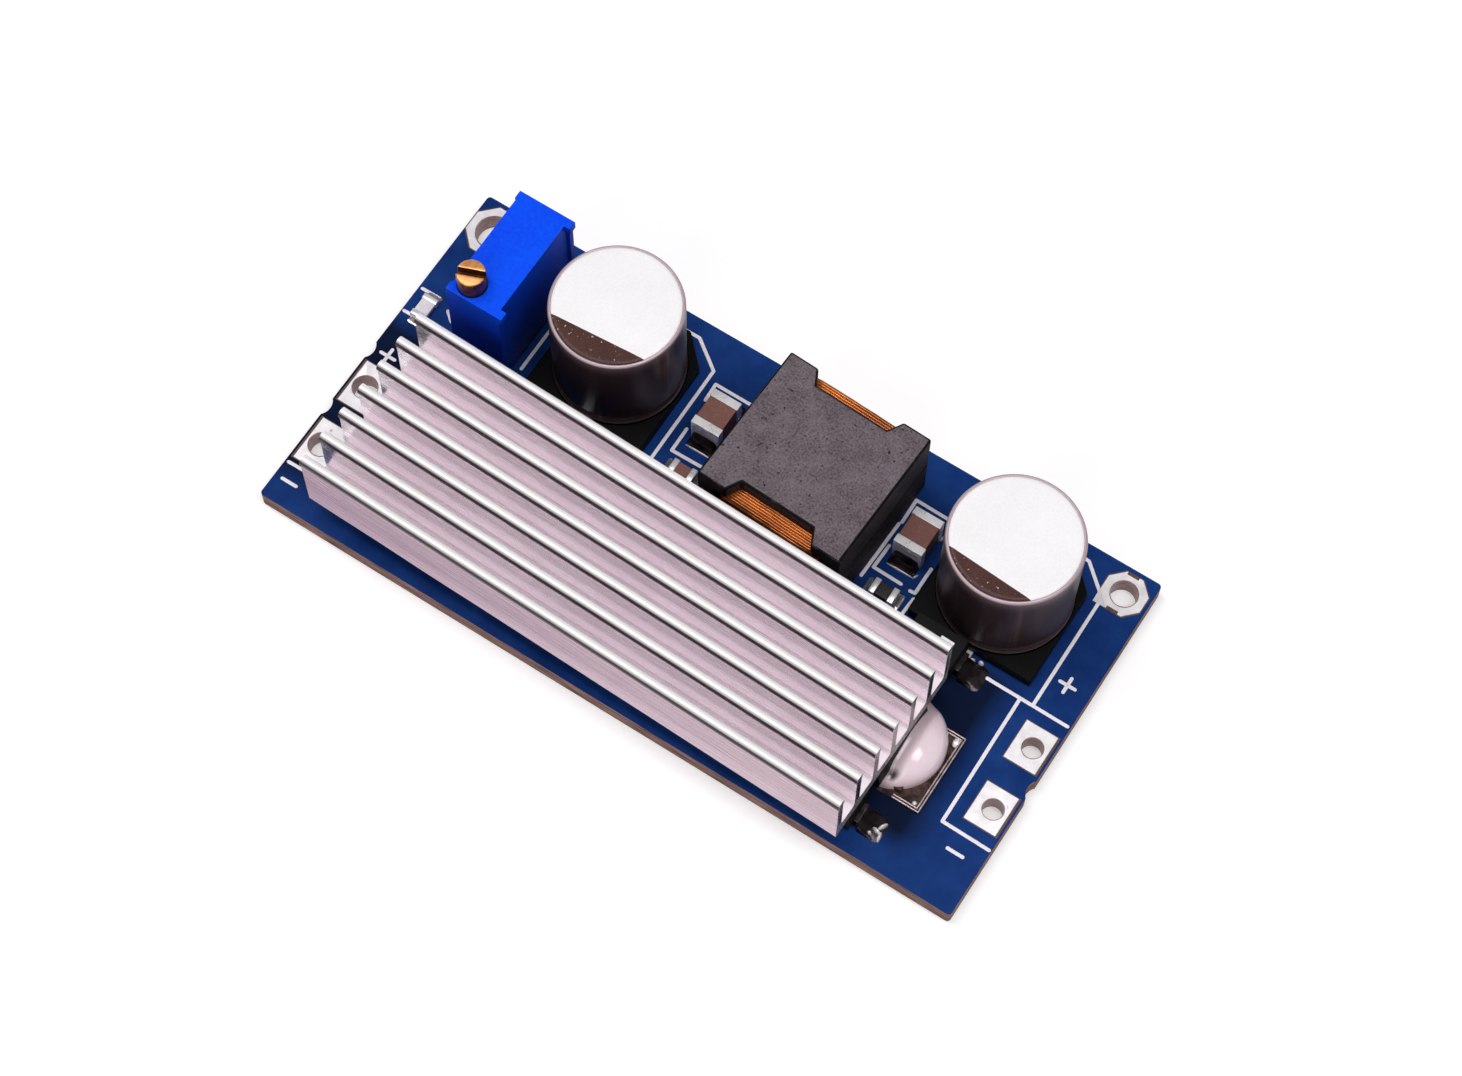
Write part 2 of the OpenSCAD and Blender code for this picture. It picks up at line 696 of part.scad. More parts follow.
// A flat lead that runs out under the base; side is -1 or 1
module can_lead(side, gap = 0) {
    reach = can_base_w / 2 + can_lead_reach;
    l = reach - can_lead_root + gap;
    translate([0, side * (can_lead_root - gap + l / 2), -gap])
        block(can_lead_w + 2 * gap, l, can_lead_t + 2 * gap);
}

// Moulded base: two cut corners on the positive side, a round seat for the can, grooves for the leads
module can_base(x) {
    w = can_base_w / 2;
    c = can_base_chamfer;
    lead_gap = 0.03;
    color([0.06, 0.06, 0.07]) translate([x, can_y, top_z]) difference() {
        translate([0, 0, can_base_lift]) linear_extrude(can_base_t - can_base_lift)
            polygon([[-w, -w], [w, -w], [w, w - c], [w - c, w], [-w + c, w], [-w, w - c]]);
        translate([0, 0, can_foot_z]) cylinder(d = can_d, h = can_base_t);
        for (side = [-1, 1]) can_lead(side, lead_gap);
    }
}

module can_leads(x) {
    color([0.78, 0.77, 0.77]) translate([x, can_y, top_z])
        for (side = [-1, 1]) can_lead(side);
}

module input_capacitor_can() { can(can_in_x); }
module input_capacitor_base() { can_base(can_in_x); }
module input_capacitor_leads() { can_leads(can_in_x); }
module output_capacitor_can() { can(can_out_x); }
module output_capacitor_base() { can_base(can_out_x); }
module output_capacitor_leads() { can_leads(can_out_x); }

// A chip part along X, on the board's face: its body, and the tinned caps over its ends
module chip_body_shape(l, w, h) {
    translate([0, 0, end_cap_t]) block(l - 2 * end_cap_t, w - 2 * end_cap_t, h - 2 * end_cap_t);
}

module chip_caps_shape(l, w, h, cap_l) {
    for (end = [-1, 1])
        difference() {
            translate([end * (l - cap_l) / 2, 0, 0]) block(cap_l, w, h);
            chip_body_shape(l, w, h);
        }
}

mlcc_cap_l = 0.65;
chip_cap_l = 0.45;

module large_ceramic(x) {
    translate([x, can_y, top_z]) rotate([0, 0, 90]) children();
}

module input_ceramic_body() {
    color([0.52, 0.31, 0.24]) large_ceramic(mlcc_in_x) chip_body_shape(mlcc_l, mlcc_w, mlcc_h);
}

module input_ceramic_terminals() {
    color([0.9, 0.88, 0.88]) large_ceramic(mlcc_in_x) chip_caps_shape(mlcc_l, mlcc_w, mlcc_h, mlcc_cap_l);
}

module output_ceramic_body() {
    color([0.52, 0.31, 0.24]) large_ceramic(mlcc_out_x) chip_body_shape(mlcc_l, mlcc_w, mlcc_h);
}

module output_ceramic_terminals() {
    color([0.9, 0.88, 0.88]) large_ceramic(mlcc_out_x) chip_caps_shape(mlcc_l, mlcc_w, mlcc_h, mlcc_cap_l);
}

module feedback_resistor_body() {
    color([0.12, 0.11, 0.12]) translate([mlcc_out_x, chip_y, top_z]) chip_body_shape(chip_l, chip_w, chip_h);
}

module feedback_resistor_terminals() {
    color([0.82, 0.8, 0.8]) translate([mlcc_out_x, chip_y, top_z])
        chip_caps_shape(chip_l, chip_w, chip_h, chip_cap_l);
}

module bypass_chip_body() {
    color([0.5, 0.36, 0.28]) translate([mlcc_in_x, chip_y, top_z]) chip_body_shape(chip_l, chip_w, chip_h);
}

module bypass_chip_terminals() {
    color([0.82, 0.8, 0.8]) translate([mlcc_in_x, chip_y, top_z])
        chip_caps_shape(chip_l, chip_w, chip_h, chip_cap_l);
}

// The indicator stands along Y near the input edge
module indicator_frame() {
    edge_inset = 0.9;
    rear_inset = 10.7;
    translate([-board_l / 2 + edge_inset + chip_w / 2, board_w / 2 - rear_inset, top_z]) rotate([0, 0, 90]) children();
}

module indicator_body() {
    color([0.93, 0.9, 0.9]) indicator_frame() chip_body_shape(chip_l, chip_w, chip_h);
}

module indicator_terminals() {
    color([0.82, 0.8, 0.8]) indicator_frame() chip_caps_shape(chip_l, chip_w, chip_h, chip_cap_l);
}

module trimmer_frame() {
    translate([trim_x, trim_y, trim_z]) children();
}

// Housing: open below, with sides recessed between corner ears, feet, and the screw's bore
module trimmer_housing() {
    ear_l = 0.7;
    ear_h = 0.8;
    rib_l = 0.45;
    rib_set_back = trim_recess / 2;
    input_recess = 0.15;
    recess_l = trim_l - 2 * ear_l;
    foot_w = 0.8;
    foot_x = [-(trim_w - foot_w) / 2, (trim_w - foot_w) / 2 - trim_recess];
    color([0, 0.33, 0.95]) trimmer_frame() difference() {
        union() {
            block(trim_w, trim_l, trim_h);
            for (x = foot_x, sy = [-1, 1])
                translate([x, sy * (trim_l - foot_w) / 2, -trim_standoff])
                    block(foot_w, foot_w, trim_standoff);
        }
        translate([cavity_x, 0, -eps]) block(cavity_w, cavity_l, trim_h - trim_roof_t + eps);
        translate([trim_w / 2 - trim_recess, -recess_l / 2, -eps])
            cube([trim_recess + eps, recess_l, trim_h + 2 * eps]);
        translate([trim_w / 2 - trim_recess, -trim_l / 2 + rib_l, -eps])
            cube([trim_recess + eps, trim_l - 2 * rib_l, trim_h - ear_h + eps]);
        translate([trim_w / 2 - rib_set_back, -trim_l / 2 - eps, -eps])
            cube([rib_set_back + eps, trim_l + 2 * eps, trim_h - ear_h + eps]);
        translate([-trim_w / 2 - eps, -recess_l / 2, -eps])
            cube([input_recess + eps, recess_l, trim_h + 2 * eps]);
        translate([screw_x, screw_y, 0]) {
            cylinder(d = screw_shank_d + 2 * running_gap, h = trim_h + eps);
            translate([0, 0, trim_h - head_recess_depth])
                cylinder(d = screw_head_d + 2 * running_gap, h = head_recess_depth + eps);
            translate([0, 0, trim_h - trim_roof_t - eps])
                cylinder(r = seal_outer_r, h = seal_pocket_depth + eps);
        }
    }
}

seal_inner_r = screw_shank_d / 2 + running_gap;
seal_outer_r = seal_inner_r + 2 * seal_section_r;

// Potted base that closes the housing, with a foot hole for the screw and holes for the pins
module trimmer_base() {
    color([0.16, 0.28, 0.62]) trimmer_frame() difference() {
        translate([cavity_x, 0, 0]) block(cavity_w, cavity_l, trim_base_t);
        translate([screw_x, screw_y, trim_base_t - screw_foot_depth])
            cylinder(d = screw_shank_d + 2 * running_gap, h = trim_base_t);
        for (y = pin_ys)
            translate([pin_x, y, -eps]) cylinder(d = pin_d, h = trim_base_t + 2 * eps);
    }
}

// Adjusting screw: slotted head over the housing, and a shank down to the base
module trimmer_screw() {
    shank_z = trim_base_t - screw_foot_depth + running_gap;
    head_z = trim_h - head_recess_depth + running_gap;
    head_top = trim_h + screw_head_h;
    head_chamfer = 0.08;
    color([0.86, 0.62, 0.36]) trimmer_frame() translate([screw_x, screw_y, 0]) difference() {
        union() {
            translate([0, 0, shank_z]) cylinder(d = screw_shank_d, h = head_z - shank_z + eps);
            rotate_extrude() polygon([
                [0, head_z], [screw_head_d / 2, head_z], [screw_head_d / 2, head_top - head_chamfer],
                [screw_head_d / 2 - head_chamfer, head_top], [0, head_top]
            ]);
        }
        translate([0, 0, head_top - slot_depth]) rotate([0, 0, slot_angle])
            block(screw_head_d + 2 * eps, slot_w, slot_depth + eps);
    }
}

// Rubber ring round the shank, in the pocket under the roof
module trimmer_seal() {
    seal_z = trim_h - trim_roof_t + seal_pocket_depth - seal_section_r;
    color([0.1, 0.1, 0.1]) trimmer_frame() translate([screw_x, screw_y, seal_z])
        rotate_extrude() translate([seal_inner_r + seal_section_r, 0]) circle(r = seal_section_r);
}

// Nut block that the screw drives up and down in the housing
module trimmer_carriage() {
    left = cavity_x - cavity_w / 2 + running_gap;
    front = -cavity_l / 2 + running_gap;
    color([0.9, 0.88, 0.8]) trimmer_frame() difference() {
        translate([left, front, carriage_mid_z - carriage_h / 2])
            cube([carriage_w, carriage_l, carriage_h]);
        translate([screw_x, screw_y, carriage_mid_z - carriage_h / 2 - eps])
            cylinder(d = screw_shank_d + 2 * running_gap, h = carriage_h + 2 * eps);
    }
}

// Sprung contact from the carriage to the element
module trimmer_wiper() {
    left = cavity_x - cavity_w / 2 + running_gap + carriage_w;
    right = cavity_x + cavity_w / 2 - element_t - running_gap;
    wiper_y = -cavity_l / 2 + running_gap + carriage_l - wiper_w;
    bow = 0.5;
    color([0.8, 0.76, 0.6]) trimmer_frame() translate([0, wiper_y + wiper_w / 2, carriage_mid_z])
        along_y(wiper_w) polygon([
            [left, -bow - wiper_t], [left, bow + wiper_t], [left + wiper_t, bow + wiper_t],
            [right, wiper_t], [right, -wiper_t], [left + wiper_t, -bow - wiper_t]
        ]);
}

// Ceramic plate with the resistance track, on the housing's output wall
module trimmer_element() {
    color([0.85, 0.84, 0.8]) trimmer_frame()
        translate([cavity_x + (cavity_w - element_t) / 2, 0, trim_base_t]) block(element_t, cavity_l, cavity_h);
}

module trimmer_pins() {
    color([0.8, 0.78, 0.76]) for (y = pin_ys)
        translate([trim_x + pin_x, trim_y + y, 0]) cylinder(d = pin_d, h = trim_z + trim_base_t);
}

// Solder that fills the pins' holes and rises a little round them
module trimmer_solder() {
    fillet_h = 0.3;
    color([0.84, 0.83, 0.83]) for (y = pin_ys)
        translate([trim_x + pin_x, trim_y + y, 0]) difference() {
            union() {
                cylinder(d = pin_hole_d, h = top_z);
                translate([0, 0, top_z]) cylinder(d1 = pin_hole_d, d2 = pin_d + 0.1, h = fillet_h);
            }
            translate([0, 0, -eps]) cylinder(d = pin_d, h = top_z + fillet_h + 2 * eps);
        }
}

circuit_board();
input_lands();
output_lands();
mounting_lands();
power_lands();
heatsink();
thermal_adhesive();
regulator_body();
regulator_tab();
regulator_leads();
rear_diode_body();
rear_diode_terminals();
front_diode_body();
front_diode_terminals();
inductor_core_upper();
inductor_core_lower();
inductor_winding();
input_capacitor_can();
input_capacitor_base();
input_capacitor_leads();
output_capacitor_can();
output_capacitor_base();
output_capacitor_leads();
input_ceramic_body();
input_ceramic_terminals();
output_ceramic_body();
output_ceramic_terminals();
feedback_resistor_body();
feedback_resistor_terminals();
bypass_chip_body();
bypass_chip_terminals();
indicator_body();
indicator_terminals();
trimmer_housing();
trimmer_base();
trimmer_screw();
trimmer_seal();
trimmer_carriage();
trimmer_wiper();
trimmer_element();
trimmer_pins();
trimmer_solder();
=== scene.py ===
"""The dressed look of a small step-up converter module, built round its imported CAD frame."""

import json
import logging
import math
from dataclasses import dataclass, replace
from enum import Enum
from typing import Any, Iterable, Sequence

import bmesh
import bpy
from mathutils import Matrix, Vector, noise


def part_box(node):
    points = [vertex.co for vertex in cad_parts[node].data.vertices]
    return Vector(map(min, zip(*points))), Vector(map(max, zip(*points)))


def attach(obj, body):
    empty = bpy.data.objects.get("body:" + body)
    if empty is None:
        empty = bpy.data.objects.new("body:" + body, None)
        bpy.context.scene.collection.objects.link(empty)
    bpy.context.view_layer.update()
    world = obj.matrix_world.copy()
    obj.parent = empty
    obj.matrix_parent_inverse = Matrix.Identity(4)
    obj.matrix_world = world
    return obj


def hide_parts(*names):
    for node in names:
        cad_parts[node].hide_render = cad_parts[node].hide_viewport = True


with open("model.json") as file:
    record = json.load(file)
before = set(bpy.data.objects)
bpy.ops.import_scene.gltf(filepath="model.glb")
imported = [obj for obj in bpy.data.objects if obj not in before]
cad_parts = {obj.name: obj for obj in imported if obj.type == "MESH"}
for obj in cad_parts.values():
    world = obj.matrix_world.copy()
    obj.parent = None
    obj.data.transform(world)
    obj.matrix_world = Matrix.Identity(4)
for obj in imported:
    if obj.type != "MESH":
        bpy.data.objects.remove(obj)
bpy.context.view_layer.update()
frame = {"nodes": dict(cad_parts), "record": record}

RGB = tuple[int, int, int]
Point = tuple[float, float]
Triple = tuple[float, float, float]
Outline = Sequence[Point]
Socket = bpy.types.NodeSocket
Inputs = dict[int | str, Any]
Mesh = bpy.types.Mesh
BMesh = bmesh.types.BMesh
Row = Sequence[bmesh.types.BMVert]

LOG = logging.getLogger("converter")
MM = 0.001
BOARD_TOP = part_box("circuit_board")[1].z / MM
PHOTO_WIDTH = 1462

# Parts of a noise's range: most of it, the part that tones follow, and a steeper part.
BROAD = (0.3, 0.7)
TONES = (0.34, 0.66)
STEEP = (0.35, 0.65)
NOISE_ROUGHNESS = 0.6
UNIT = (0.0, 1.0)
FADE_OUT = (1.0, 0.0)


class Body(Enum):
    """The bodies that new pieces ride on."""

    MODULE = "module"
    SCREW = "adjusting_screw"


def low_high(node: str) -> tuple[Vector, Vector]:
    """A CAD node's lowest and highest corner, in millimetres."""
    low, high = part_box(node)
    return low / MM, high / MM


def middle(node: str) -> Vector:
    """The middle of a CAD node's box, in millimetres."""
    low, high = low_high(node)
    return (low + high) / 2


def heights(node: str) -> Point:
    """The lowest and highest Z of a CAD node, in millimetres."""
    low, high = low_high(node)
    return low.z, high.z


def quarter(steps: int) -> list[float]:
    """The angles from nothing to a right angle, in equal steps."""
    return [math.pi / 2 * k / steps for k in range(steps + 1)]


def add_object(name: str, data: bpy.types.ID) -> bpy.types.Object:
    """Put a new object round its data into the scene.

    Args:
        name: The object's name.
        data: What it holds.

    Returns:
        The object.
    """
    made = bpy.data.objects.new(name, data)
    bpy.context.scene.collection.objects.link(made)
    return made


@dataclass(frozen=True)
class Hole:
    """A drilled hole: its axis and its radius, in millimetres."""

    x: float
    y: float
    r: float

    @classmethod
    def named(cls, word: str) -> "list[Hole]":
        """The holes of the record with a word in their names."""
        rows = [m for m in frame["record"]["mounts"] if word in m["name"]]
        return [cls(m["pos_m"][0] / MM, m["pos_m"][1] / MM, m["dims"]["r_mm"]) for m in rows]


def linear(rgb: RGB) -> tuple[float, float, float, float]:
    """Turn a written colour of 0 to 255 into the linear one that a shader takes, by the sRGB curve.

    Args:
        rgb: Red, green and blue as they look on a screen.

    Returns:
        The linear colour with an alpha of 1.
    """
    shares = [c / 255 for c in rgb]
    return (*(s / 12.92 if s <= 0.04045 else ((s + 0.055) / 1.055) ** 2.4 for s in shares), 1.0)


class NodeTree:
    """A Blender node tree, with one short call to add a node."""

    def __init__(self, tree: bpy.types.NodeTree) -> None:
        """Take the tree that nodes go into."""
        self.tree = tree

    def fill(self, node: bpy.types.Node, inputs: Inputs) -> None:
        """Link or set a node's inputs.

        Args:
            node: The node.
            inputs: Socket numbers or names, each with a socket or a list of them to link, or a value.
        """
        for key, value in inputs.items():
            for one in value if isinstance(value, list) else [value]:
                if isinstance(one, Socket):
                    self.tree.links.new(one, node.inputs[key])
                else:
                    node.inputs[key].default_value = one

    def node(self, kind: str, inputs: Inputs | None = None, **settings: Any) -> bpy.types.Node:
        """Add a node.

        Args:
            kind: The node's Blender type.
            inputs: Its inputs, as for fill.
            settings: The node's own properties.

        Returns:
            The new node.
        """
        made = self.tree.nodes.new(kind)
        for key, value in settings.items():
            setattr(made, key, value)
        self.fill(made, inputs or {})
        return made


class Graph(NodeTree):
    """A material's shader tree, with short calls for the nodes that the finishes share."""

    def __init__(self, name: str) -> None:
        """Start a material with one Principled shader.

        Args:
            name: The material's name.
        """
        self.material = bpy.data.materials.new(name)
        self.material.use_nodes = True
        super().__init__(self.material.node_tree)
        self.known: dict[Any, Socket] = {}

    def set(self, sockets: Inputs) -> None:
        """Set or link the shader's sockets."""
        self.fill(self.tree.nodes["Principled BSDF"], sockets)

    def mm(self, turn: float = 0.0, stretch: Triple = (1, 1, 1), centre: Triple = (0, 0, 0)) -> Socket:
        """Object coordinates in millimetres.

        Args:
            turn: The pattern's turn about Z, in degrees.
            stretch: How far the pattern is drawn out along each axis.
            centre: The pattern's own origin, in millimetres.

        Returns:
            The vector socket.
        """
        inputs = {
            "Vector": self.node("ShaderNodeTexCoord").outputs["Object"],
            "Location": tuple(c * MM for c in centre),
            "Rotation": (0, 0, math.radians(turn)),
            "Scale": tuple(s * MM for s in stretch),
        }
        return self.node("ShaderNodeMapping", inputs, vector_type="TEXTURE").outputs[0]

    def noise(self, vector: Socket, scale: float, detail: float = 4.0) -> Socket:
        """Fractal noise of a number of repeats a millimetre."""
        inputs = {"Vector": vector, "Scale": scale, "Detail": detail, "Roughness": NOISE_ROUGHNESS}
        return self.node("ShaderNodeTexNoise", inputs).outputs[0]

    def remap(self, value: Socket, low: float, high: float, to: tuple[Any, Any] = UNIT) -> Socket:
        """Stretch a value from one range to another and clamp it."""
        inputs = {"Value": value, "From Min": low, "From Max": high, "To Min": to[0], "To Max": to[1]}
        return self.node("ShaderNodeMapRange", inputs).outputs[0]

    def math(self, operation: str, a: Socket, b: Socket | float = 0.0) -> Socket:
        """One arithmetic step."""
        return self.node("ShaderNodeMath", {0: a, 1: b}, operation=operation).outputs[0]

    def times(self, first: Socket, *others: Socket | float) -> Socket:
        """The product of values.

        Args:
            first: The first value.
            others: The rest.

        Returns:
            The product's socket.
        """
        for other in others:
            first = self.math("MULTIPLY", first, other)
        return first

    def measure(self, operation: str, a: Socket, b: Triple = (0, 0, 0)) -> Socket:
        """A number that is taken from one or two vectors."""
        return self.node("ShaderNodeVectorMath", {0: a, 1: b}, operation=operation).outputs["Value"]

    def mix(self, factor: Socket, a: Socket | RGB, b: Socket | RGB) -> Socket:
        """Blend two colours, each a socket or a written colour; the node's colours are inputs 6 and 7."""
        pair = [c if isinstance(c, Socket) else linear(c) for c in (a, b)]
        return self.node("ShaderNodeMix", {0: factor, 6: pair[0], 7: pair[1]}, data_type="RGBA").outputs[2]

    def axes(self, vector: Socket) -> list[Socket]:
        """A vector's three parts."""
        return list(self.node("ShaderNodeSeparateXYZ", {0: vector}).outputs)

    def facing(self) -> list[Socket]:
        """The three parts of the way that a face looks."""
        return self.axes(self.node("ShaderNodeNewGeometry").outputs["True Normal"])

    def rim(self) -> Socket:
        """The share of edge rounding, 1 on rounded edges, that the mesh carries."""
        return self.node("ShaderNodeAttribute", attribute_name="rim").outputs["Fac"]

    def bump(self, height: Socket, depth: float, under: Inputs | None = None,
             share: Socket | float = 1.0) -> Socket:
        """A fine relief.

        Args:
            height: The relief's 0 to 1 socket.
            depth: Its depth in millimetres.
            under: The input for a relief that it lies on, if any.
            share: How much of it shows.

        Returns:
            The normal socket.
        """
        inputs = {"Strength": share, "Distance": depth * MM, "Height": height} | (under or {})
        return self.node("ShaderNodeBump", inputs).outputs[0]


class By(Enum):
    """What a mask follows; the first three are an axis of the place."""

    X = 0
    Y = 1
    HEIGHT = 2
    ACROSS = "distance from the pattern's middle along Y"
    AWAY = "distance from the pattern's centre"
    UP = "how far a face looks up"
    LEVEL = "how far a face looks up or down"
    END = "how far a face looks along X, either way"
    CREST = "how far the smooth surface looks a given way"
    NOISE = "fractal noise"


@dataclass(frozen=True)
class Mask:
    """A share over a surface: what it follows, over which span, and its values at the span's ends."""

    by: By
    span: Point = STEEP
    to: Point = UNIT
    scale: float = 1.0
    detail: float = 4.0
    turn: float = 0.0
    stretch: Triple = (1, 1, 1)
    centre: Triple = (0, 0, 0)
    towards: Triple = (0, 0, 1)

    def follow(self, graph: Graph) -> Socket:
        """Make the value that the mask follows.

        Args:
            graph: The material's tree.

        Returns:
            The value's socket, in millimetres where it is a place.
        """
        match self.by:
            case By.UP:
                return graph.facing()[2]
            case By.LEVEL:
                return graph.math("ABSOLUTE", graph.facing()[2])
            case By.END:
                return graph.math("ABSOLUTE", graph.facing()[0])
            case By.CREST:
                normal = graph.node("ShaderNodeNewGeometry").outputs["Normal"]
                return graph.measure("DOT_PRODUCT", normal, self.towards)
        place = graph.mm(self.turn, self.stretch, self.centre)
        match self.by:
            case By.NOISE:
                return graph.noise(place, self.scale, self.detail)
            case By.AWAY:
                return graph.measure("LENGTH", place)
            case By.ACROSS:
                return graph.math("ABSOLUTE", graph.axes(place)[1])
        return graph.axes(place)[self.by.value]

    def value(self, graph: Graph) -> Socket:
        """The value that the mask follows, made once for all masks of a material that share it.

        Args:
            graph: The material's tree.

        Returns:
            The value's socket.
        """
        key = replace(self, span=UNIT, to=UNIT)
        if key not in graph.known:
            graph.known[key] = self.follow(graph)
        return graph.known[key]

    def share(self, graph: Graph) -> Socket:
        """The mask's share."""
        return graph.remap(self.value(graph), *self.span, self.to)


@dataclass(frozen=True)
class Layer:
    """What lies over a finish where all masks hold: a tone, or two that follow a pattern or the grain."""

    masks: tuple[Mask, ...]
    tone: RGB | None = None
    second: RGB | None = None
    pattern: Mask | None = None
    metallic: float | None = None
    rough: float | None = None

    def lay(self, graph: Graph, look: Inputs, grain: Socket) -> None:
        """Blend the layer into a look.

        Args:
            graph: The material's tree.
            look: The shader's sockets so far, which change.
            grain: The finish's grain.
        """
        share = graph.times(*(mask.share(graph) for mask in self.masks))
        if self.tone:
            tone = self.tone
            if self.second:
                follow = self.pattern.share(graph) if self.pattern else graph.remap(grain, *STEEP)
                tone = graph.mix(follow, self.tone, self.second)
            look["Base Color"] = graph.mix(share, look["Base Color"], tone)
        for key, value in (("Metallic", self.metallic), ("Roughness", self.rough)):
            if value is not None:
                look[key] = graph.remap(share, *UNIT, (look[key], value))


@dataclass(frozen=True)
class Finish:
    """A surface of two tones in a grain, with blotches, specks, edges of another tone (wear on some finishes,
    painted light on others), a fine relief and layers.
    """

    name: str
    slot: str
    dark: RGB
    light: RGB
    grain: float = 4.0
    blotch: float = 0.25
    blotch_share: float = 0.4
    stretch: Triple = (1, 1, 1)
    turn: float = 0.0
    details: Triple = (6.0, 3.0, 2.0)
    metallic: float = 0.0
    rough: Point = (0.35, 0.55)
    relief: float = 0.004
    specular: float = 0.5
    edge: RGB | None = None
    edge_share: float = 0.6
    edge_patches: Point = (0.25, 0.6)
    edge_left: Point = (0.35, 1.0)
    speck: RGB | None = None
    speck_scale: float = 6.0
    speck_from: float = 0.66
    speck_fade: float = 0.05
    coat: float = 0.0
    subsurface: float = 0.0
    subsurface_reach: float = 0.8
    weave: float = 0.0
    weave_share: float = 0.18
    lines: Mask | None = None
    lines_on: Mask | None = None
    under_lines: float = 0.5
    layers: tuple[Layer, ...] = ()

    def material(self) -> bpy.types.Material:
        """The finish's material, made once.

        Returns:
            The material.
        """
        found = bpy.data.materials.get(self.name)
        if found:
            return found
        graph = Graph(self.name)
        self.paint(graph)
        return graph.material

    def tone(self, graph: Graph) -> tuple[Socket, Socket]:
        """Make the colour and the grain that it follows.

        Args:
            graph: The material's tree.

        Returns:
            The colour socket and the grain's 0 to 1 socket.
        """
        fine, wide, dotted = self.details
        grain = graph.noise(graph.mm(self.turn, self.stretch), self.grain, fine)
        broad = graph.noise(graph.mm(), self.blotch, wide)
        parts = graph.times(grain, 1 - self.blotch_share), graph.times(broad, self.blotch_share)
        colour = graph.mix(graph.remap(graph.math("ADD", *parts), *TONES), self.dark, self.light)
        if self.speck:
            dots = graph.noise(graph.mm(), self.speck_scale, dotted)
            dots = graph.remap(dots, self.speck_from, self.speck_from + self.speck_fade)
            colour = graph.mix(dots, colour, self.speck)
        if self.edge:
            edge_tone_share = graph.times(graph.rim(), graph.remap(broad, *self.edge_patches, self.edge_left))
            colour = graph.mix(graph.times(edge_tone_share, self.edge_share), colour, self.edge)
        return colour, grain

    def bumps(self, graph: Graph, grain: Socket, lines: Socket) -> Socket:
        """Make the fine relief: the grain, woven if wanted, with drawn lines over it if there are any.

        Args:
            graph: The material's tree.
            grain: The grain.
            lines: The drawn lines.

        Returns:
            The normal socket.
        """
        if self.weave:
            waves = [graph.math("SINE", graph.times(axis, self.weave)) for axis in graph.axes(graph.mm())[:2]]
            grain = graph.math("ADD", graph.times(*waves, self.weave_share), grain)
        if not self.lines:
            return graph.bump(grain, self.relief)
        shown = self.lines_on.share(graph)
        under = graph.bump(grain, self.relief * self.under_lines, share=shown)
        return graph.bump(lines, self.relief, {"Normal": under}, shown)

    def paint(self, graph: Graph) -> None:
        """Write the shader's sockets: the plain tone, the relief and the layers over them.

        Args:
            graph: The material's tree.
        """
        colour, grain = self.tone(graph)
        lines = self.lines.value(graph) if self.lines else grain
        look = {
            "Base Color": colour,
            "Metallic": self.metallic,
            "Roughness": graph.remap(lines, *BROAD, self.rough),
            "Normal": self.bumps(graph, grain, lines),
            "Specular IOR Level": self.specular,
            "Coat Weight": self.coat,
            "Subsurface Weight": self.subsurface,
            "Subsurface Scale": self.subsurface_reach * MM,
        }
        for layer in self.layers:
            layer.lay(graph, look, grain)
        graph.set(look)


def shaded(node: str, tone: RGB, depth: Point) -> Layer:
    """Shade on the upright faces of a CAD node, of one depth at its foot and another at its top."""
    return Layer((Mask(By.UP, (0.3, 0.75), FADE_OUT), Mask(By.HEIGHT, heights(node), depth)), tone)


def below(node: str, *depths: float) -> tuple[float, ...]:
    """Heights at depths under a CAD node's top, in millimetres."""
    return tuple(heights(node)[1] - depth for depth in depths)


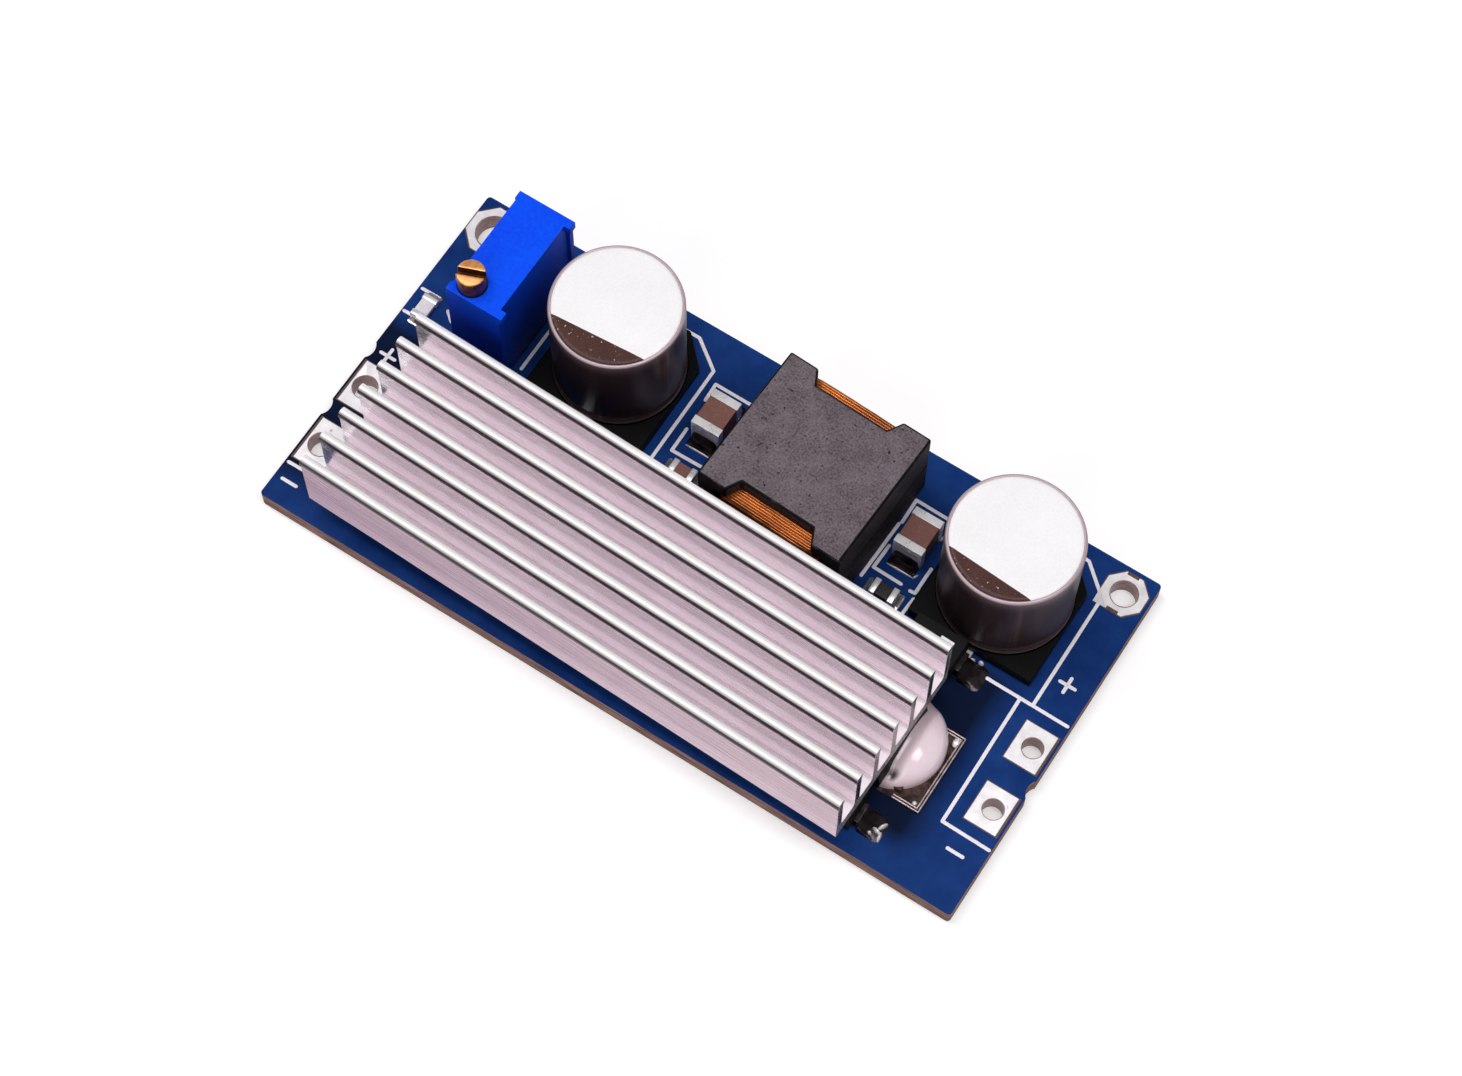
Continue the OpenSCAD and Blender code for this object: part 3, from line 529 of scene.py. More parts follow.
class Shop:
    """The finishes of the module, by what they are on."""

    MASK = Finish(
        "solder_mask_blue", "solder_mask", (12, 41, 96), (30, 65, 132), 0.5, 0.08, 0.6, rough=(0.34, 0.34),
        relief=0.0015, specular=0.03, weave=9.0,
        layers=(
            # A painted shadow of the heatsink towards the output end, and the cut laminate on the edges.
            Layer((Mask(By.X, (25.6, 23.4), (0.0, 0.85)), Mask(By.Y, (-13.2, -11.5)),
                   Mask(By.Y, (1.5, 3.5), FADE_OUT)), (7, 8, 12)),
            Layer((Mask(By.LEVEL, (0.35, 0.6), FADE_OUT),), (84, 58, 54), (176, 142, 134),
                  Mask(By.NOISE, detail=5.0, stretch=(3, 3, 0.16)), rough=0.8),
        ))
    LAMINATE = Finish("bare_laminate", "solder_mask", (64, 40, 34), (104, 72, 60), 5.0, relief=0.01)
    TIN = Finish("tinned_land", "tin", (230, 224, 228), (250, 247, 249), 1.2, 0.5, metallic=0.35,
                 rough=(0.28, 0.42), relief=0.012, edge=(120, 84, 66), edge_share=0.5,
                 speck=(206, 176, 178), speck_scale=1.6, speck_from=0.7)
    # Brownish tin in painted shade inside the holes.
    BARREL = Finish("plated_hole", "tin", (108, 72, 66), (186, 156, 155), 2.0, metallic=0.3,
                    rough=(0.3, 0.5))
    SOLDER = Finish("bright_solder", "tin", (206, 198, 200), (244, 240, 242), 1.5, 0.6, metallic=0.85,
                    rough=(0.14, 0.28), relief=0.008)
    # Dark solder at the ceramics' and diodes' ends: painted shade.
    SHADED_SOLDER = Finish("shaded_solder", "tin", (20, 16, 18), (66, 57, 60), 1.2, 0.6, metallic=0.8,
                  rough=(0.14, 0.26), relief=0.005)
    LOW_SHADED_SOLDER = Finish(
        "low_shaded_solder", "tin", (214, 207, 210), (248, 244, 246), 1.5, metallic=0.85, rough=(0.3, 0.45),
        relief=0.006, specular=0.12,
        layers=(
            # Painted shade, dark brown and not metallic, where the solder lies below the rim's top.
            Layer((Mask(By.HEIGHT, (1.9, 1.95), FADE_OUT),), (34, 22, 20), (86, 62, 56),
                  Mask(By.NOISE, (0.4, 0.65), scale=1.6), metallic=0.0),
        ))
    # Dark brown on the regulator's tab: painted shade.
    TAB_SHADE = Finish("shaded_tab", "tin", (58, 40, 36), (98, 74, 68), 1.5, rough=(0.3, 0.5), specular=0.12)
    RIM = Finish("rim_solder", "tin", (150, 130, 134), (232, 216, 220), 1.6, metallic=0.5, rough=(0.2, 0.34))
    GLINT = Finish("solder_glint", "tin", (238, 232, 235), (253, 250, 252), 2.0, metallic=0.35,
                   rough=(0.16, 0.3))
    INK = Finish("silkscreen_ink", "solder_mask", (230, 221, 228), (250, 244, 249), 7.0, rough=(0.55, 0.7),
                 relief=0.003)
    DIE = Mask(By.NOISE, (0.56, 0.76), (0.0, 0.4), scale=14.0, detail=3.0, turn=-1.4, stretch=(60, 1, 1))
    # Painted shade and painted light on the heatsink's beads and sawn ends.
    HEATSINK_SHADE = (58, 45, 51)
    HEATSINK_LIGHT = (253, 249, 251)
    HEATSINK = Finish(
        "extruded_aluminium", "heatsink_aluminium", (247, 234, 241), (255, 244, 250), 1.2, 0.12, 0.5,
        stretch=(8, 1, 1), turn=-1.4, metallic=0.95, rough=(0.23, 0.31), relief=0.0005, lines=DIE,
        lines_on=Mask(By.HEIGHT, (9.7, 9.78), FADE_OUT),
        layers=(
            # Duller outer faces darker as painted shade, die-line wear, matt channel floors, beads in painted
            # light on top and painted shade below, and sawn ends in painted shade with lighter saw marks.
            Layer((Mask(By.ACROSS, (6.9, 7.0), turn=-1.4, centre=(*middle("heatsink").xy, 0.0)),),
                  (216, 179, 197), (236, 202, 218), replace(DIE, span=STEEP, to=UNIT), metallic=0.1),
            Layer((DIE,), (247, 234, 241)),
            Layer((Mask(By.HEIGHT, (5.6, 6.2), FADE_OUT),), metallic=0.0),
            Layer((Mask(By.HEIGHT, (9.7, 9.78)),), HEATSINK_SHADE, HEATSINK_LIGHT,
                  Mask(By.CREST, (0.35, 0.85), towards=(0.0, 0.35, 0.94)), metallic=0.1, rough=0.24),
            Layer((Mask(By.END, (0.9, 0.97)),), HEATSINK_SHADE, HEATSINK_LIGHT,
                  Mask(By.NOISE, (0.4, 0.6), (0.05, 0.4), scale=3.0, stretch=(1, 0.15, 4))),
        ))
    SINK_END = low_high("heatsink")[1].x
    ADHESIVE = Finish(
        "cured_adhesive", "adhesive", (250, 220, 229), (255, 236, 243), 0.8, 0.3, rough=(0.12, 0.22),
        relief=0.006, subsurface=0.1, coat=0.5,
        layers=(
            # Painted shade along the heatsink's end, and a dark patch of painted shade in the dimple.
            Layer((Mask(By.X, (SINK_END + 0.8, SINK_END + 0.1), (0.0, 0.55)),), (146, 124, 134)),
            Layer((Mask(By.AWAY, (0.5, 0.15), (0.0, 0.9), stretch=(1, 1, 12), centre=(20.95, -8.5, 3.0)),),
                  (34, 24, 28)),
        ))
    EPOXY = Finish("moulded_epoxy", "moulded_black", (8, 8, 9), (20, 19, 21), 14.0, rough=(0.4, 0.6),
                   relief=0.006, specular=0.12)
    # Painted shade along the rounded edges and on the upright faces, deepest at the foot.
    FERRITE = Finish("fired_ferrite", "ferrite", (64, 56, 62), (126, 114, 121), 6.0, 0.9, 0.3,
                     rough=(0.5, 0.75), relief=0.008, specular=0.15, edge=(10, 7, 8), edge_share=1.5,
                     speck=(46, 38, 42), speck_scale=2.6,
                     layers=(shaded("inductor_core_upper", (20, 15, 17), (0.95, 0.7)),))
    COPPER = Finish("enamelled_copper", "copper", (100, 42, 11), (222, 128, 56), 1.6, 0.4, 0.3,
                    stretch=(14, 1, 1), turn=-2.4, metallic=0.7, rough=(0.2, 0.32), relief=0.002, coat=0.3)
    SHADE = Finish("wound_copper", "copper", (48, 19, 8), (96, 44, 18), 4.0, metallic=0.3, rough=(0.3, 0.5))
    # Painted light for the can's sides.
    CAN_PAINTED_LIGHT = (124, 104, 108)
    CAN_FOOT = heights("input_capacitor_can")[0]
    # The sides' dark brown is a painted dark reflection.
    CAN = Finish(
        "drawn_aluminium", "can_aluminium", (46, 34, 36), (58, 44, 46), 0.8, 0.2, 0.5, stretch=(1, 1, 6),
        metallic=0.3, rough=(0.32, 0.42), relief=0.0005, specular=0.2,
        layers=(
            # Upright streaks, a painted sheen that grows towards the top, and painted highlights on the lip
            # and on the rolled edge.
            Layer((Mask(By.NOISE, (0.6, 0.72), (0.0, 0.2), scale=1.1, detail=3.0, stretch=(1, 1, 30)),),
                  (160, 126, 116)),
            Layer((Mask(By.HEIGHT, below("input_capacitor_can", 1.7, 0.22), (0.0, 0.9)),) * 2, CAN_PAINTED_LIGHT),
            Layer((Mask(By.HEIGHT, (CAN_FOOT + 0.85, CAN_FOOT + 0.55), (0.0, 0.8)),), CAN_PAINTED_LIGHT),
            Layer((Mask(By.HEIGHT, below("input_capacitor_can", 0.28, 0.1)),), (190, 170, 177)),
        ))
    PRINT = Finish("white_print", "can_aluminium", (240, 237, 239), (252, 250, 252), 6.0, rough=(0.45, 0.6),
                   relief=0.002)
    MARK = Finish("polarity_print", "can_aluminium", (64, 41, 39), (92, 64, 60), 9.0, rough=(0.2, 0.3),
                  relief=0.006, specular=0.12, speck=(220, 186, 178), speck_scale=3.6, speck_from=0.67)
    BASE = Finish("moulded_base", "base_plastic", (4, 4, 6), (13, 12, 14), 8.0, rough=(0.4, 0.6),
                  relief=0.005, specular=0.08)
    CERAMIC = Finish("brown_ceramic", "ceramic_brown", (108, 64, 54), (142, 90, 81), 9.0, rough=(0.45, 0.6),
                     relief=0.006, speck=(176, 104, 66), speck_scale=8.0)
    GLAZE = Finish("black_glaze", "resistor_black", (16, 15, 18), (34, 32, 36), 8.0, rough=(0.2, 0.35))
    ENDCAP = Finish("tinned_end", "tin", (236, 231, 234), (250, 247, 249), 0.8, metallic=0.5,
                    rough=(0.24, 0.34), relief=0.001)
    RESIN = Finish("cast_resin", "indicator_white", (232, 220, 222), (250, 243, 244), 4.0, rough=(0.2, 0.3),
                   subsurface=0.2)
    # A lighter tone along the rounded edges, and painted shade on the upright faces, deepest at the foot.
    BLUE = Finish("blue_moulding", "trimmer_blue", (0, 66, 236), (2, 86, 254), 3.0, 0.2, rough=(0.4, 0.55),
                  relief=0.004, specular=0.08, edge=(40, 110, 255), edge_share=0.35,
                  layers=(shaded("trimmer_housing", (14, 30, 78), (0.9, 0.35)),))
    POTTING = Finish("potting_resin", "trimmer_potting", (14, 26, 70), (30, 52, 120), 2.0, rough=(0.2, 0.35))
    SCREW_SHADE = ((58, 26, 14), (122, 62, 26))
    BRASS = Finish(
        "turned_brass", "screw_brass", (226, 150, 84), (250, 184, 118), 2.5, metallic=0.6, rough=(0.26, 0.4),
        relief=0.003,
        layers=(
            # Painted shade on the sides and in the slot.
            Layer((Mask(By.UP, (0.45, 0.8), FADE_OUT),), *SCREW_SHADE),
            Layer((Mask(By.HEIGHT, below("trimmer_screw", 0.22, 0.12), FADE_OUT),), *SCREW_SHADE),
        ))
    RUBBER = Finish("moulded_rubber", "seal_rubber", (10, 10, 10), (26, 25, 25), 6.0, rough=(0.6, 0.8))
    NYLON = Finish("white_nylon", "carriage_nylon", (206, 200, 182), (232, 227, 212), 3.0)
    SPRING = Finish("spring_metal", "wiper_metal", (190, 160, 96), (224, 198, 138), 3.0, metallic=1.0,
                    rough=(0.2, 0.35))
    ALUMINA = Finish("fired_alumina", "element_ceramic", (206, 202, 192), (232, 228, 220), 6.0,
                     rough=(0.6, 0.8))


class Shaper:
    """Meshes in millimetres, and their way into the scene as pieces in metres."""

    MERGE = 0.0008
    FLAT = 0.6
    SHARP = 32.0

    @classmethod
    def from_node(cls, node: str) -> BMesh:
        """A merged copy of a CAD node's mesh, in millimetres, with its flat faces joined.

        Args:
            node: The CAD node.

        Returns:
            The copy.
        """
        shape = bmesh.new()
        shape.from_mesh(frame["nodes"][node].data)
        shape.transform(Matrix.Scale(1 / MM, 4))
        bmesh.ops.remove_doubles(shape, verts=shape.verts, dist=cls.MERGE)
        bmesh.ops.dissolve_limit(shape, angle_limit=math.radians(cls.FLAT), verts=shape.verts,
                                 edges=shape.edges)
        return shape

    @classmethod
    def round_edges(cls, shape: BMesh, width: float, steps: int, clamp: bool = True) -> None:
        """Round every sharp edge and mark the new faces for the edge tone.

        Args:
            shape: The mesh to change.
            width: The rounding's width, in millimetres.
            steps: How many faces each rounding gets.
            clamp: Whether short edges hold the width back.
        """
        layer = shape.faces.layers.float.new("rim")
        limit = math.radians(cls.SHARP)
        sharp = [e for e in shape.edges if len(e.link_faces) == 2 and e.calc_face_angle(0.0) > limit]
        made = bmesh.ops.bevel(shape, geom=sharp, offset=width, segments=steps, profile=0.5, affect="EDGES",
                               clamp_overlap=clamp, offset_type="OFFSET", material=-1)
        for face in made["faces"]:
            face[layer] = 1.0

    @staticmethod
    def outwards(shape: BMesh) -> BMesh:
        """Turn all faces of a closed shape outwards."""
        bmesh.ops.recalc_face_normals(shape, faces=shape.faces)
        return shape

    @staticmethod
    def mesh(shape: BMesh, name: str) -> Mesh:
        """Close a shape in millimetres, which is freed, into a mesh in metres.

        Args:
            shape: The shape.
            name: The mesh's name.

        Returns:
            The mesh.
        """
        shape.transform(Matrix.Scale(MM, 4))
        made = bpy.data.meshes.new(name)
        shape.to_mesh(made)
        shape.free()
        return made

    @staticmethod
    def piece(name: str, mesh: Mesh, finish: Finish, body: Body = Body.MODULE,
              stands_for: Sequence[str] = (), sharp: float = 38.0, weighted: bool = False) -> None:
        """Put a mesh into the scene as a piece that rides on a body.

        Args:
            name: The piece's name.
            mesh: Its mesh, in metres and in place.
            finish: Its finish.
            body: The body that it rides on.
            stands_for: The CAD nodes that it replaces.
            sharp: The angle past which an edge stays sharp, in degrees.
            weighted: Whether large faces pull the shading of their edges flat.
        """
        mesh.polygons.foreach_set("use_smooth", [True] * len(mesh.polygons))
        mesh.set_sharp_from_angle(angle=math.radians(sharp))
        mesh.materials.clear()
        mesh.materials.append(finish.material())
        made = add_object(name, mesh)
        if weighted:
            modifier = made.modifiers.new("flat_faces", "WEIGHTED_NORMAL")
            modifier.keep_sharp = True
            shown = made.evaluated_get(bpy.context.evaluated_depsgraph_get())
            made.data = bpy.data.meshes.new_from_object(shown)
            made.data.name = name
            made.modifiers.remove(modifier)
        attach(made, body.value)
        if stands_for:
            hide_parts(*stands_for)
        LOG.info("%s: %d faces on %s", name, len(made.data.polygons), body.value)

    @classmethod
    def solid(cls, name: str, shape: BMesh, finish: Finish, **options: Any) -> None:
        """Put a shape in millimetres into the scene as a piece, with options as for piece."""
        cls.piece(name, cls.mesh(shape, name), finish, **options)

    @classmethod
    def rounded(cls, finish: Finish, width: float, *nodes: str, steps: int = 2, body: Body = Body.MODULE,
                clamp: bool = True) -> None:
        """Replace CAD nodes by copies with rounded edges.

        Args:
            finish: The copies' finish.
            width: The rounding's width, in millimetres.
            nodes: The CAD nodes.
            steps: How many faces each rounding gets.
            body: The body that the nodes are on.
            clamp: Whether short edges hold the width back.
        """
        for node in nodes:
            shape = cls.from_node(node)
            cls.round_edges(shape, width, steps, clamp)
            cls.piece(f"{node}_dressed", cls.mesh(shape, node), finish, body, [node], weighted=True)

    @staticmethod
    def dress(finish: Finish, *nodes: str) -> None:
        """Give CAD nodes that keep their shape a finish.

        Args:
            finish: The finish.
            nodes: The CAD nodes.
        """
        for node in nodes:
            slots = frame["nodes"][node].data.materials
            slots.clear()
            slots.append(finish.material())
            LOG.info("%s: dressed as %s", node, finish.name)

    @staticmethod
    def lathe(profile: Outline, centre: Point, steps: int = 96) -> BMesh:
        """Turn a half section about an upright axis.

        Args:
            profile: Radius and height from one pole to the other, or a closed ring off the axis.
            centre: The axis in X and Y.
            steps: How many faces go round.

        Returns:
            The turned shape, its faces outwards.
        """
        shape = bmesh.new()
        rows: list[Row] = []
        for radius, height in profile:
            count = 1 if radius < 1e-6 else steps
            turns = [2 * math.pi * i / steps for i in range(count)]
            rows.append([shape.verts.new((centre[0] + radius * math.cos(a),
                                          centre[1] + radius * math.sin(a), height)) for a in turns])
        closed = len(rows[0]) > 1
        for low, high in zip(rows, rows[1:] + (rows[:1] if closed else [])):
            Shaper.bridge(shape, low, high)
        return Shaper.outwards(shape)

    @staticmethod
    def bridge(shape: BMesh, low: Row, high: Row) -> None:
        """Join two closed rows of points by faces.

        Args:
            shape: The mesh that holds the points and takes the faces.
            low: The first row, or a pole as a row of one point.
            high: The second row, or a pole.
        """
        count = max(len(low), len(high))
        for i in range(count):
            j = (i + 1) % count
            corners = [low[i % len(low)], low[j % len(low)], high[j % len(high)], high[i % len(high)]]
            shape.faces.new(list(dict.fromkeys(corners)))

    @staticmethod
    def rounded_loop(width: float, depth: float, radius: float, steps: int = 8) -> list[Point]:
        """The points round a rectangle with rounded corners, counter-clockwise.

        Args:
            width: Its size along X.
            depth: Its size along Y.
            radius: The corners' radius.
            steps: How many parts each corner has.

        Returns:
            The points in X and Y.
        """
        points: list[Point] = []
        for corner, (sx, sy) in enumerate(((1, 1), (-1, 1), (-1, -1), (1, -1))):
            for k in range(steps + 1):
                a = math.pi / 2 * (corner + k / steps)
                points.append((sx * (width / 2 - radius) + radius * math.cos(a),
                               sy * (depth / 2 - radius) + radius * math.sin(a)))
        return points

    @staticmethod
    def plates(outlines: Iterable[Sequence[Outline]], low: float, high: float) -> BMesh:
        """Upright prisms, each over one outline, and frames, each between two.

        Args:
            outlines: One outline for a prism, or an outer and an inner one of as many points for a frame.
            low: The height of the undersides.
            high: The height of the tops.

        Returns:
            All of them as one shape.
        """
        shape = bmesh.new()
        for outer, *inner in outlines:
            levels = [(outer, low), (outer, high)] + [(loop, z) for loop in inner for z in (high, low)]
            rows = [[shape.verts.new((x, y, z)) for x, y in loop] for loop, z in levels]
            ring = rows + rows[:1] if inner else rows
            for one, other in zip(ring, ring[1:]):
                Shaper.bridge(shape, one, other)
            if not inner:
                shape.faces.new(rows[0][::-1])
                shape.faces.new(rows[1])
        return Shaper.outwards(shape)

    @staticmethod
    def join(shape: BMesh, other: BMesh) -> None:
        """Add a second shape, which is freed, to a first.

        Args:
            shape: The shape that grows.
            other: The shape that goes into it.
        """
        sheet = bpy.data.meshes.new("joined")
        other.to_mesh(sheet)
        other.free()
        shape.from_mesh(sheet)


class GeoTree(NodeTree):
    """A Geometry Nodes tree with named inputs, which ends in real geometry with one finish."""

    def __init__(self, name: str, **inputs: str) -> None:
        """Start a tree; each input is a name and the kind of its socket.

        Args:
            name: The tree's name.
            inputs: The inputs' kinds, by name.
        """
        super().__init__(bpy.data.node_groups.new(name, "GeometryNodeTree"))
        face = self.tree.interface
        face.new_socket("Geometry", in_out="INPUT", socket_type="NodeSocketGeometry")
        self.keys = {n: face.new_socket(n, in_out="INPUT", socket_type=f"NodeSocket{k}").identifier
                     for n, k in (inputs | {"Finish": "Material"}).items()}
        face.new_socket("Geometry", in_out="OUTPUT", socket_type="NodeSocketGeometry")
        self.start = self.tree.nodes.new("NodeGroupInput").outputs
        self.end = self.tree.nodes.new("NodeGroupOutput").inputs[0]

    def add(self, kind: str, inputs: Inputs | None = None, **settings: Any) -> Socket:
        """Add a node as for node, by its type or what stands after GeometryNode; return its first output."""
        whole = kind if "Node" in kind else f"GeometryNode{kind}"
        return self.node(whole, inputs, **settings).outputs[0]

    def math(self, operation: str, a: Socket, b: Socket | float) -> Socket:
        """One arithmetic step."""
        return self.add("ShaderNodeMath", {0: a, 1: b}, operation=operation)

    def vector(self, **parts: Socket | float) -> Socket:
        """A vector of the parts X, Y and Z that are given."""
        return self.add("ShaderNodeCombineXYZ", parts)

    def drift(self, scale: float, reach: Socket, along: Triple) -> Socket:
        """A slow, fixed wander of points.

        Args:
            scale: How many bends there are to a millimetre.
            reach: How far points wander, in millimetres.
            along: The share of the reach on each axis.

        Returns:
            The offset of every point.
        """
        inputs = {"Vector": self.add("InputPosition"), "Scale": scale, "Detail": 1.0}
        waves = self.node("ShaderNodeTexNoise", inputs).outputs["Color"]
        centred = self.add("ShaderNodeVectorMath", {0: waves, 1: (0.5, 0.5, 0.5)}, operation="SUBTRACT")
        across = self.add("ShaderNodeVectorMath", {0: centred, 1: along}, operation="MULTIPLY")
        return self.add("ShaderNodeVectorMath", {0: across, "Scale": reach}, operation="SCALE")

    def close(self, geometry: Socket) -> "GeoTree":
        """End the tree: instances become real, shade smooth and take the finish.

        Args:
            geometry: What the tree has made.

        Returns:
            The tree.
        """
        real = self.add("RealizeInstances", {"Geometry": geometry})
        smooth = self.add("SetShadeSmooth", {"Geometry": real})
        done = self.add("SetMaterial", {"Geometry": smooth, "Material": self.start["Finish"]})
        self.tree.links.new(done, self.end)
        return self

    def run(self, source: Mesh, finish: Finish, **values: Any) -> Mesh:
        """Run the tree on a mesh.

        Args:
            source: The mesh that goes in, in millimetres.
            finish: The finish of what comes out.
            values: The named inputs.

        Returns:
            The result as a plain mesh, in metres.
        """
        holder = add_object("source", source)
        modifier = holder.modifiers.new("tree", "NODES")
        modifier.node_group = self.tree
        for key, value in (values | {"Finish": finish.material()}).items():
            modifier[self.keys[key]] = value
        shown = holder.evaluated_get(bpy.context.evaluated_depsgraph_get())
        made = bpy.data.meshes.new_from_object(shown)
        holder.modifiers.remove(modifier)
        bpy.data.objects.remove(holder)
        made.transform(Matrix.Scale(MM, 4))
        return made


class Trees:
    """The Geometry Nodes trees that the sub-assemblies use, and how fine they work."""

    STROKE_SIDES = 10
    BALL_RINGS = 6
    WIRE_SIDES = 8
    WIRE_POINTS = 90
    DIE_BENDS = 0.16
    COIL_BENDS = 0.5

    @staticmethod
    def strokes() -> GeoTree:
        """Flattened round strokes along every edge, with round ends and joints.

        Returns:
            The tree.
        """
        tree = GeoTree("strokes", Width="Float", Height="Float", Level="Float")
        start = tree.start
        radius = tree.math("MULTIPLY", start["Width"], 0.5)
        apart = tree.add("SplitEdges", {"Mesh": start["Geometry"]})
        rails = tree.add("MeshToCurve", {"Mesh": apart})
        ring = tree.add("CurvePrimitiveCircle", {"Resolution": Trees.STROKE_SIDES, "Radius": radius})
        tubes = tree.add("CurveToMesh", {"Curve": rails, "Profile Curve": ring, "Fill Caps": True})
        sizes = {"Segments": Trees.STROKE_SIDES, "Rings": Trees.BALL_RINGS, "Radius": radius}
        ball = tree.add("MeshUVSphere", sizes)
        joints = tree.add("InstanceOnPoints", {"Points": start["Geometry"], "Instance": ball})
        both = tree.add("JoinGeometry", {"Geometry": [tubes, joints]})
        real = tree.add("RealizeInstances", {"Geometry": both})
        scale = tree.vector(X=1.0, Y=1.0, Z=tree.math("DIVIDE", start["Height"], start["Width"]))
        lift = tree.vector(Z=start["Level"])
        return tree.close(tree.add("Transform", {"Geometry": real, "Scale": scale, "Translation": lift}))

    @staticmethod
    def extrusion() -> GeoTree:
        """A closed profile drawn out along X, a little wavy as it left the die.

        Returns:
            The tree.
        """
        tree = GeoTree("extrusion", Length="Float", Stations="Int", Waviness="Float")
        half = tree.math("MULTIPLY", tree.start["Length"], 0.5)
        ends = {"Start": tree.vector(X=tree.math("MULTIPLY", half, -1.0)), "End": tree.vector(X=half)}
        line = tree.add("CurvePrimitiveLine", ends)
        rail = tree.add("ResampleCurve", {"Curve": line, "Count": tree.start["Stations"]})
        profile = tree.add("MeshToCurve", {"Mesh": tree.start["Geometry"]})
        bar = tree.add("CurveToMesh", {"Curve": rail, "Profile Curve": profile, "Fill Caps": True})
        push = tree.drift(Trees.DIE_BENDS, tree.start["Waviness"], (0.0, 1.0, 1.0))
        return tree.close(tree.add("SetPosition", {"Geometry": bar, "Offset": push}))

    @staticmethod
    def wires() -> GeoTree:
        """Round wire along closed loops, each a little loose.

        Returns:
            The tree.
        """
        tree = GeoTree("wires", Radius="Float", Looseness="Float")
        rails = tree.add("MeshToCurve", {"Mesh": tree.start["Geometry"]})
        fine = tree.add("ResampleCurve", {"Curve": rails, "Count": Trees.WIRE_POINTS})
        push = tree.drift(Trees.COIL_BENDS, tree.start["Looseness"], (1.0, 1.0, 0.6))
        loose = tree.add("SetPosition", {"Geometry": fine, "Offset": push})
        sizes = {"Resolution": Trees.WIRE_SIDES, "Radius": tree.start["Radius"]}
        ring = tree.add("CurvePrimitiveCircle", sizes)
        return tree.close(tree.add("CurveToMesh", {"Curve": loose, "Profile Curve": ring}))

    @staticmethod
    def scatter() -> GeoTree:
        """One shape on every point, turned and sized by what the point carries.

        Returns:
            The tree.
        """
        tree = GeoTree("scatter", Shape="Object")
        turn = tree.add("InputNamedAttribute", {"Name": "turn"}, data_type="FLOAT")
        size = tree.add("InputNamedAttribute", {"Name": "size"}, data_type="FLOAT_VECTOR")
        rotation = tree.add("FunctionNodeEulerToRotation", {"Euler": tree.vector(Z=turn)})
        shape = tree.node("GeometryNodeObjectInfo", {"Object": tree.start["Shape"]}).outputs["Geometry"]
        spots = {"Points": tree.start["Geometry"], "Instance": shape, "Rotation": rotation, "Scale": size}
        return tree.close(tree.add("InstanceOnPoints", spots))


@dataclass(frozen=True)
class Spot:
    """Where one copy of a repeated shape goes: a point, a turn in degrees and a size."""

    place: Triple
    turn: float
    size: Triple


def scatter(tree: GeoTree, shape: BMesh, spots: Sequence[Spot], finish: Finish) -> Mesh:
    """Copy a shape to a list of spots.

    Args:
        tree: The scatter tree.
        shape: The shape of unit size, in millimetres, which is freed.
        spots: Where the copies go.
        finish: Their finish.

    Returns:
        One mesh of all copies, in metres.
    """
    unit = bpy.data.meshes.new("unit")
    shape.to_mesh(unit)
    shape.free()
    holder = add_object("unit", unit)
    points = bpy.data.meshes.new("spots")
    points.from_pydata([s.place for s in spots], [], [])
    turns = points.attributes.new("turn", "FLOAT", "POINT")
    turns.data.foreach_set("value", [math.radians(s.turn) for s in spots])
    sizes = points.attributes.new("size", "FLOAT_VECTOR", "POINT")
    sizes.data.foreach_set("vector", [c for s in spots for c in s.size])
    made = tree.run(points, finish, Shape=holder)
    bpy.data.objects.remove(holder)
    return made


def polylines(paths: Sequence[Sequence[Triple]], closed: bool = False) -> Mesh:
    """A mesh of loose edges.

    Args:
        paths: The points that the edges join, path by path.
        closed: Whether each path ends where it began.

    Returns:
        The mesh, in the paths' unit.
    """
    points: list[Triple] = []
    edges: list[tuple[int, int]] = []
    for path in paths:
        first = len(points)
        points += path
        edges += [(i, i + 1) for i in range(first, len(points) - 1)]
        edges += [(len(points) - 1, first)] if closed else []
    made = bpy.data.meshes.new("paths")
    made.from_pydata(points, edges, [])
    return made


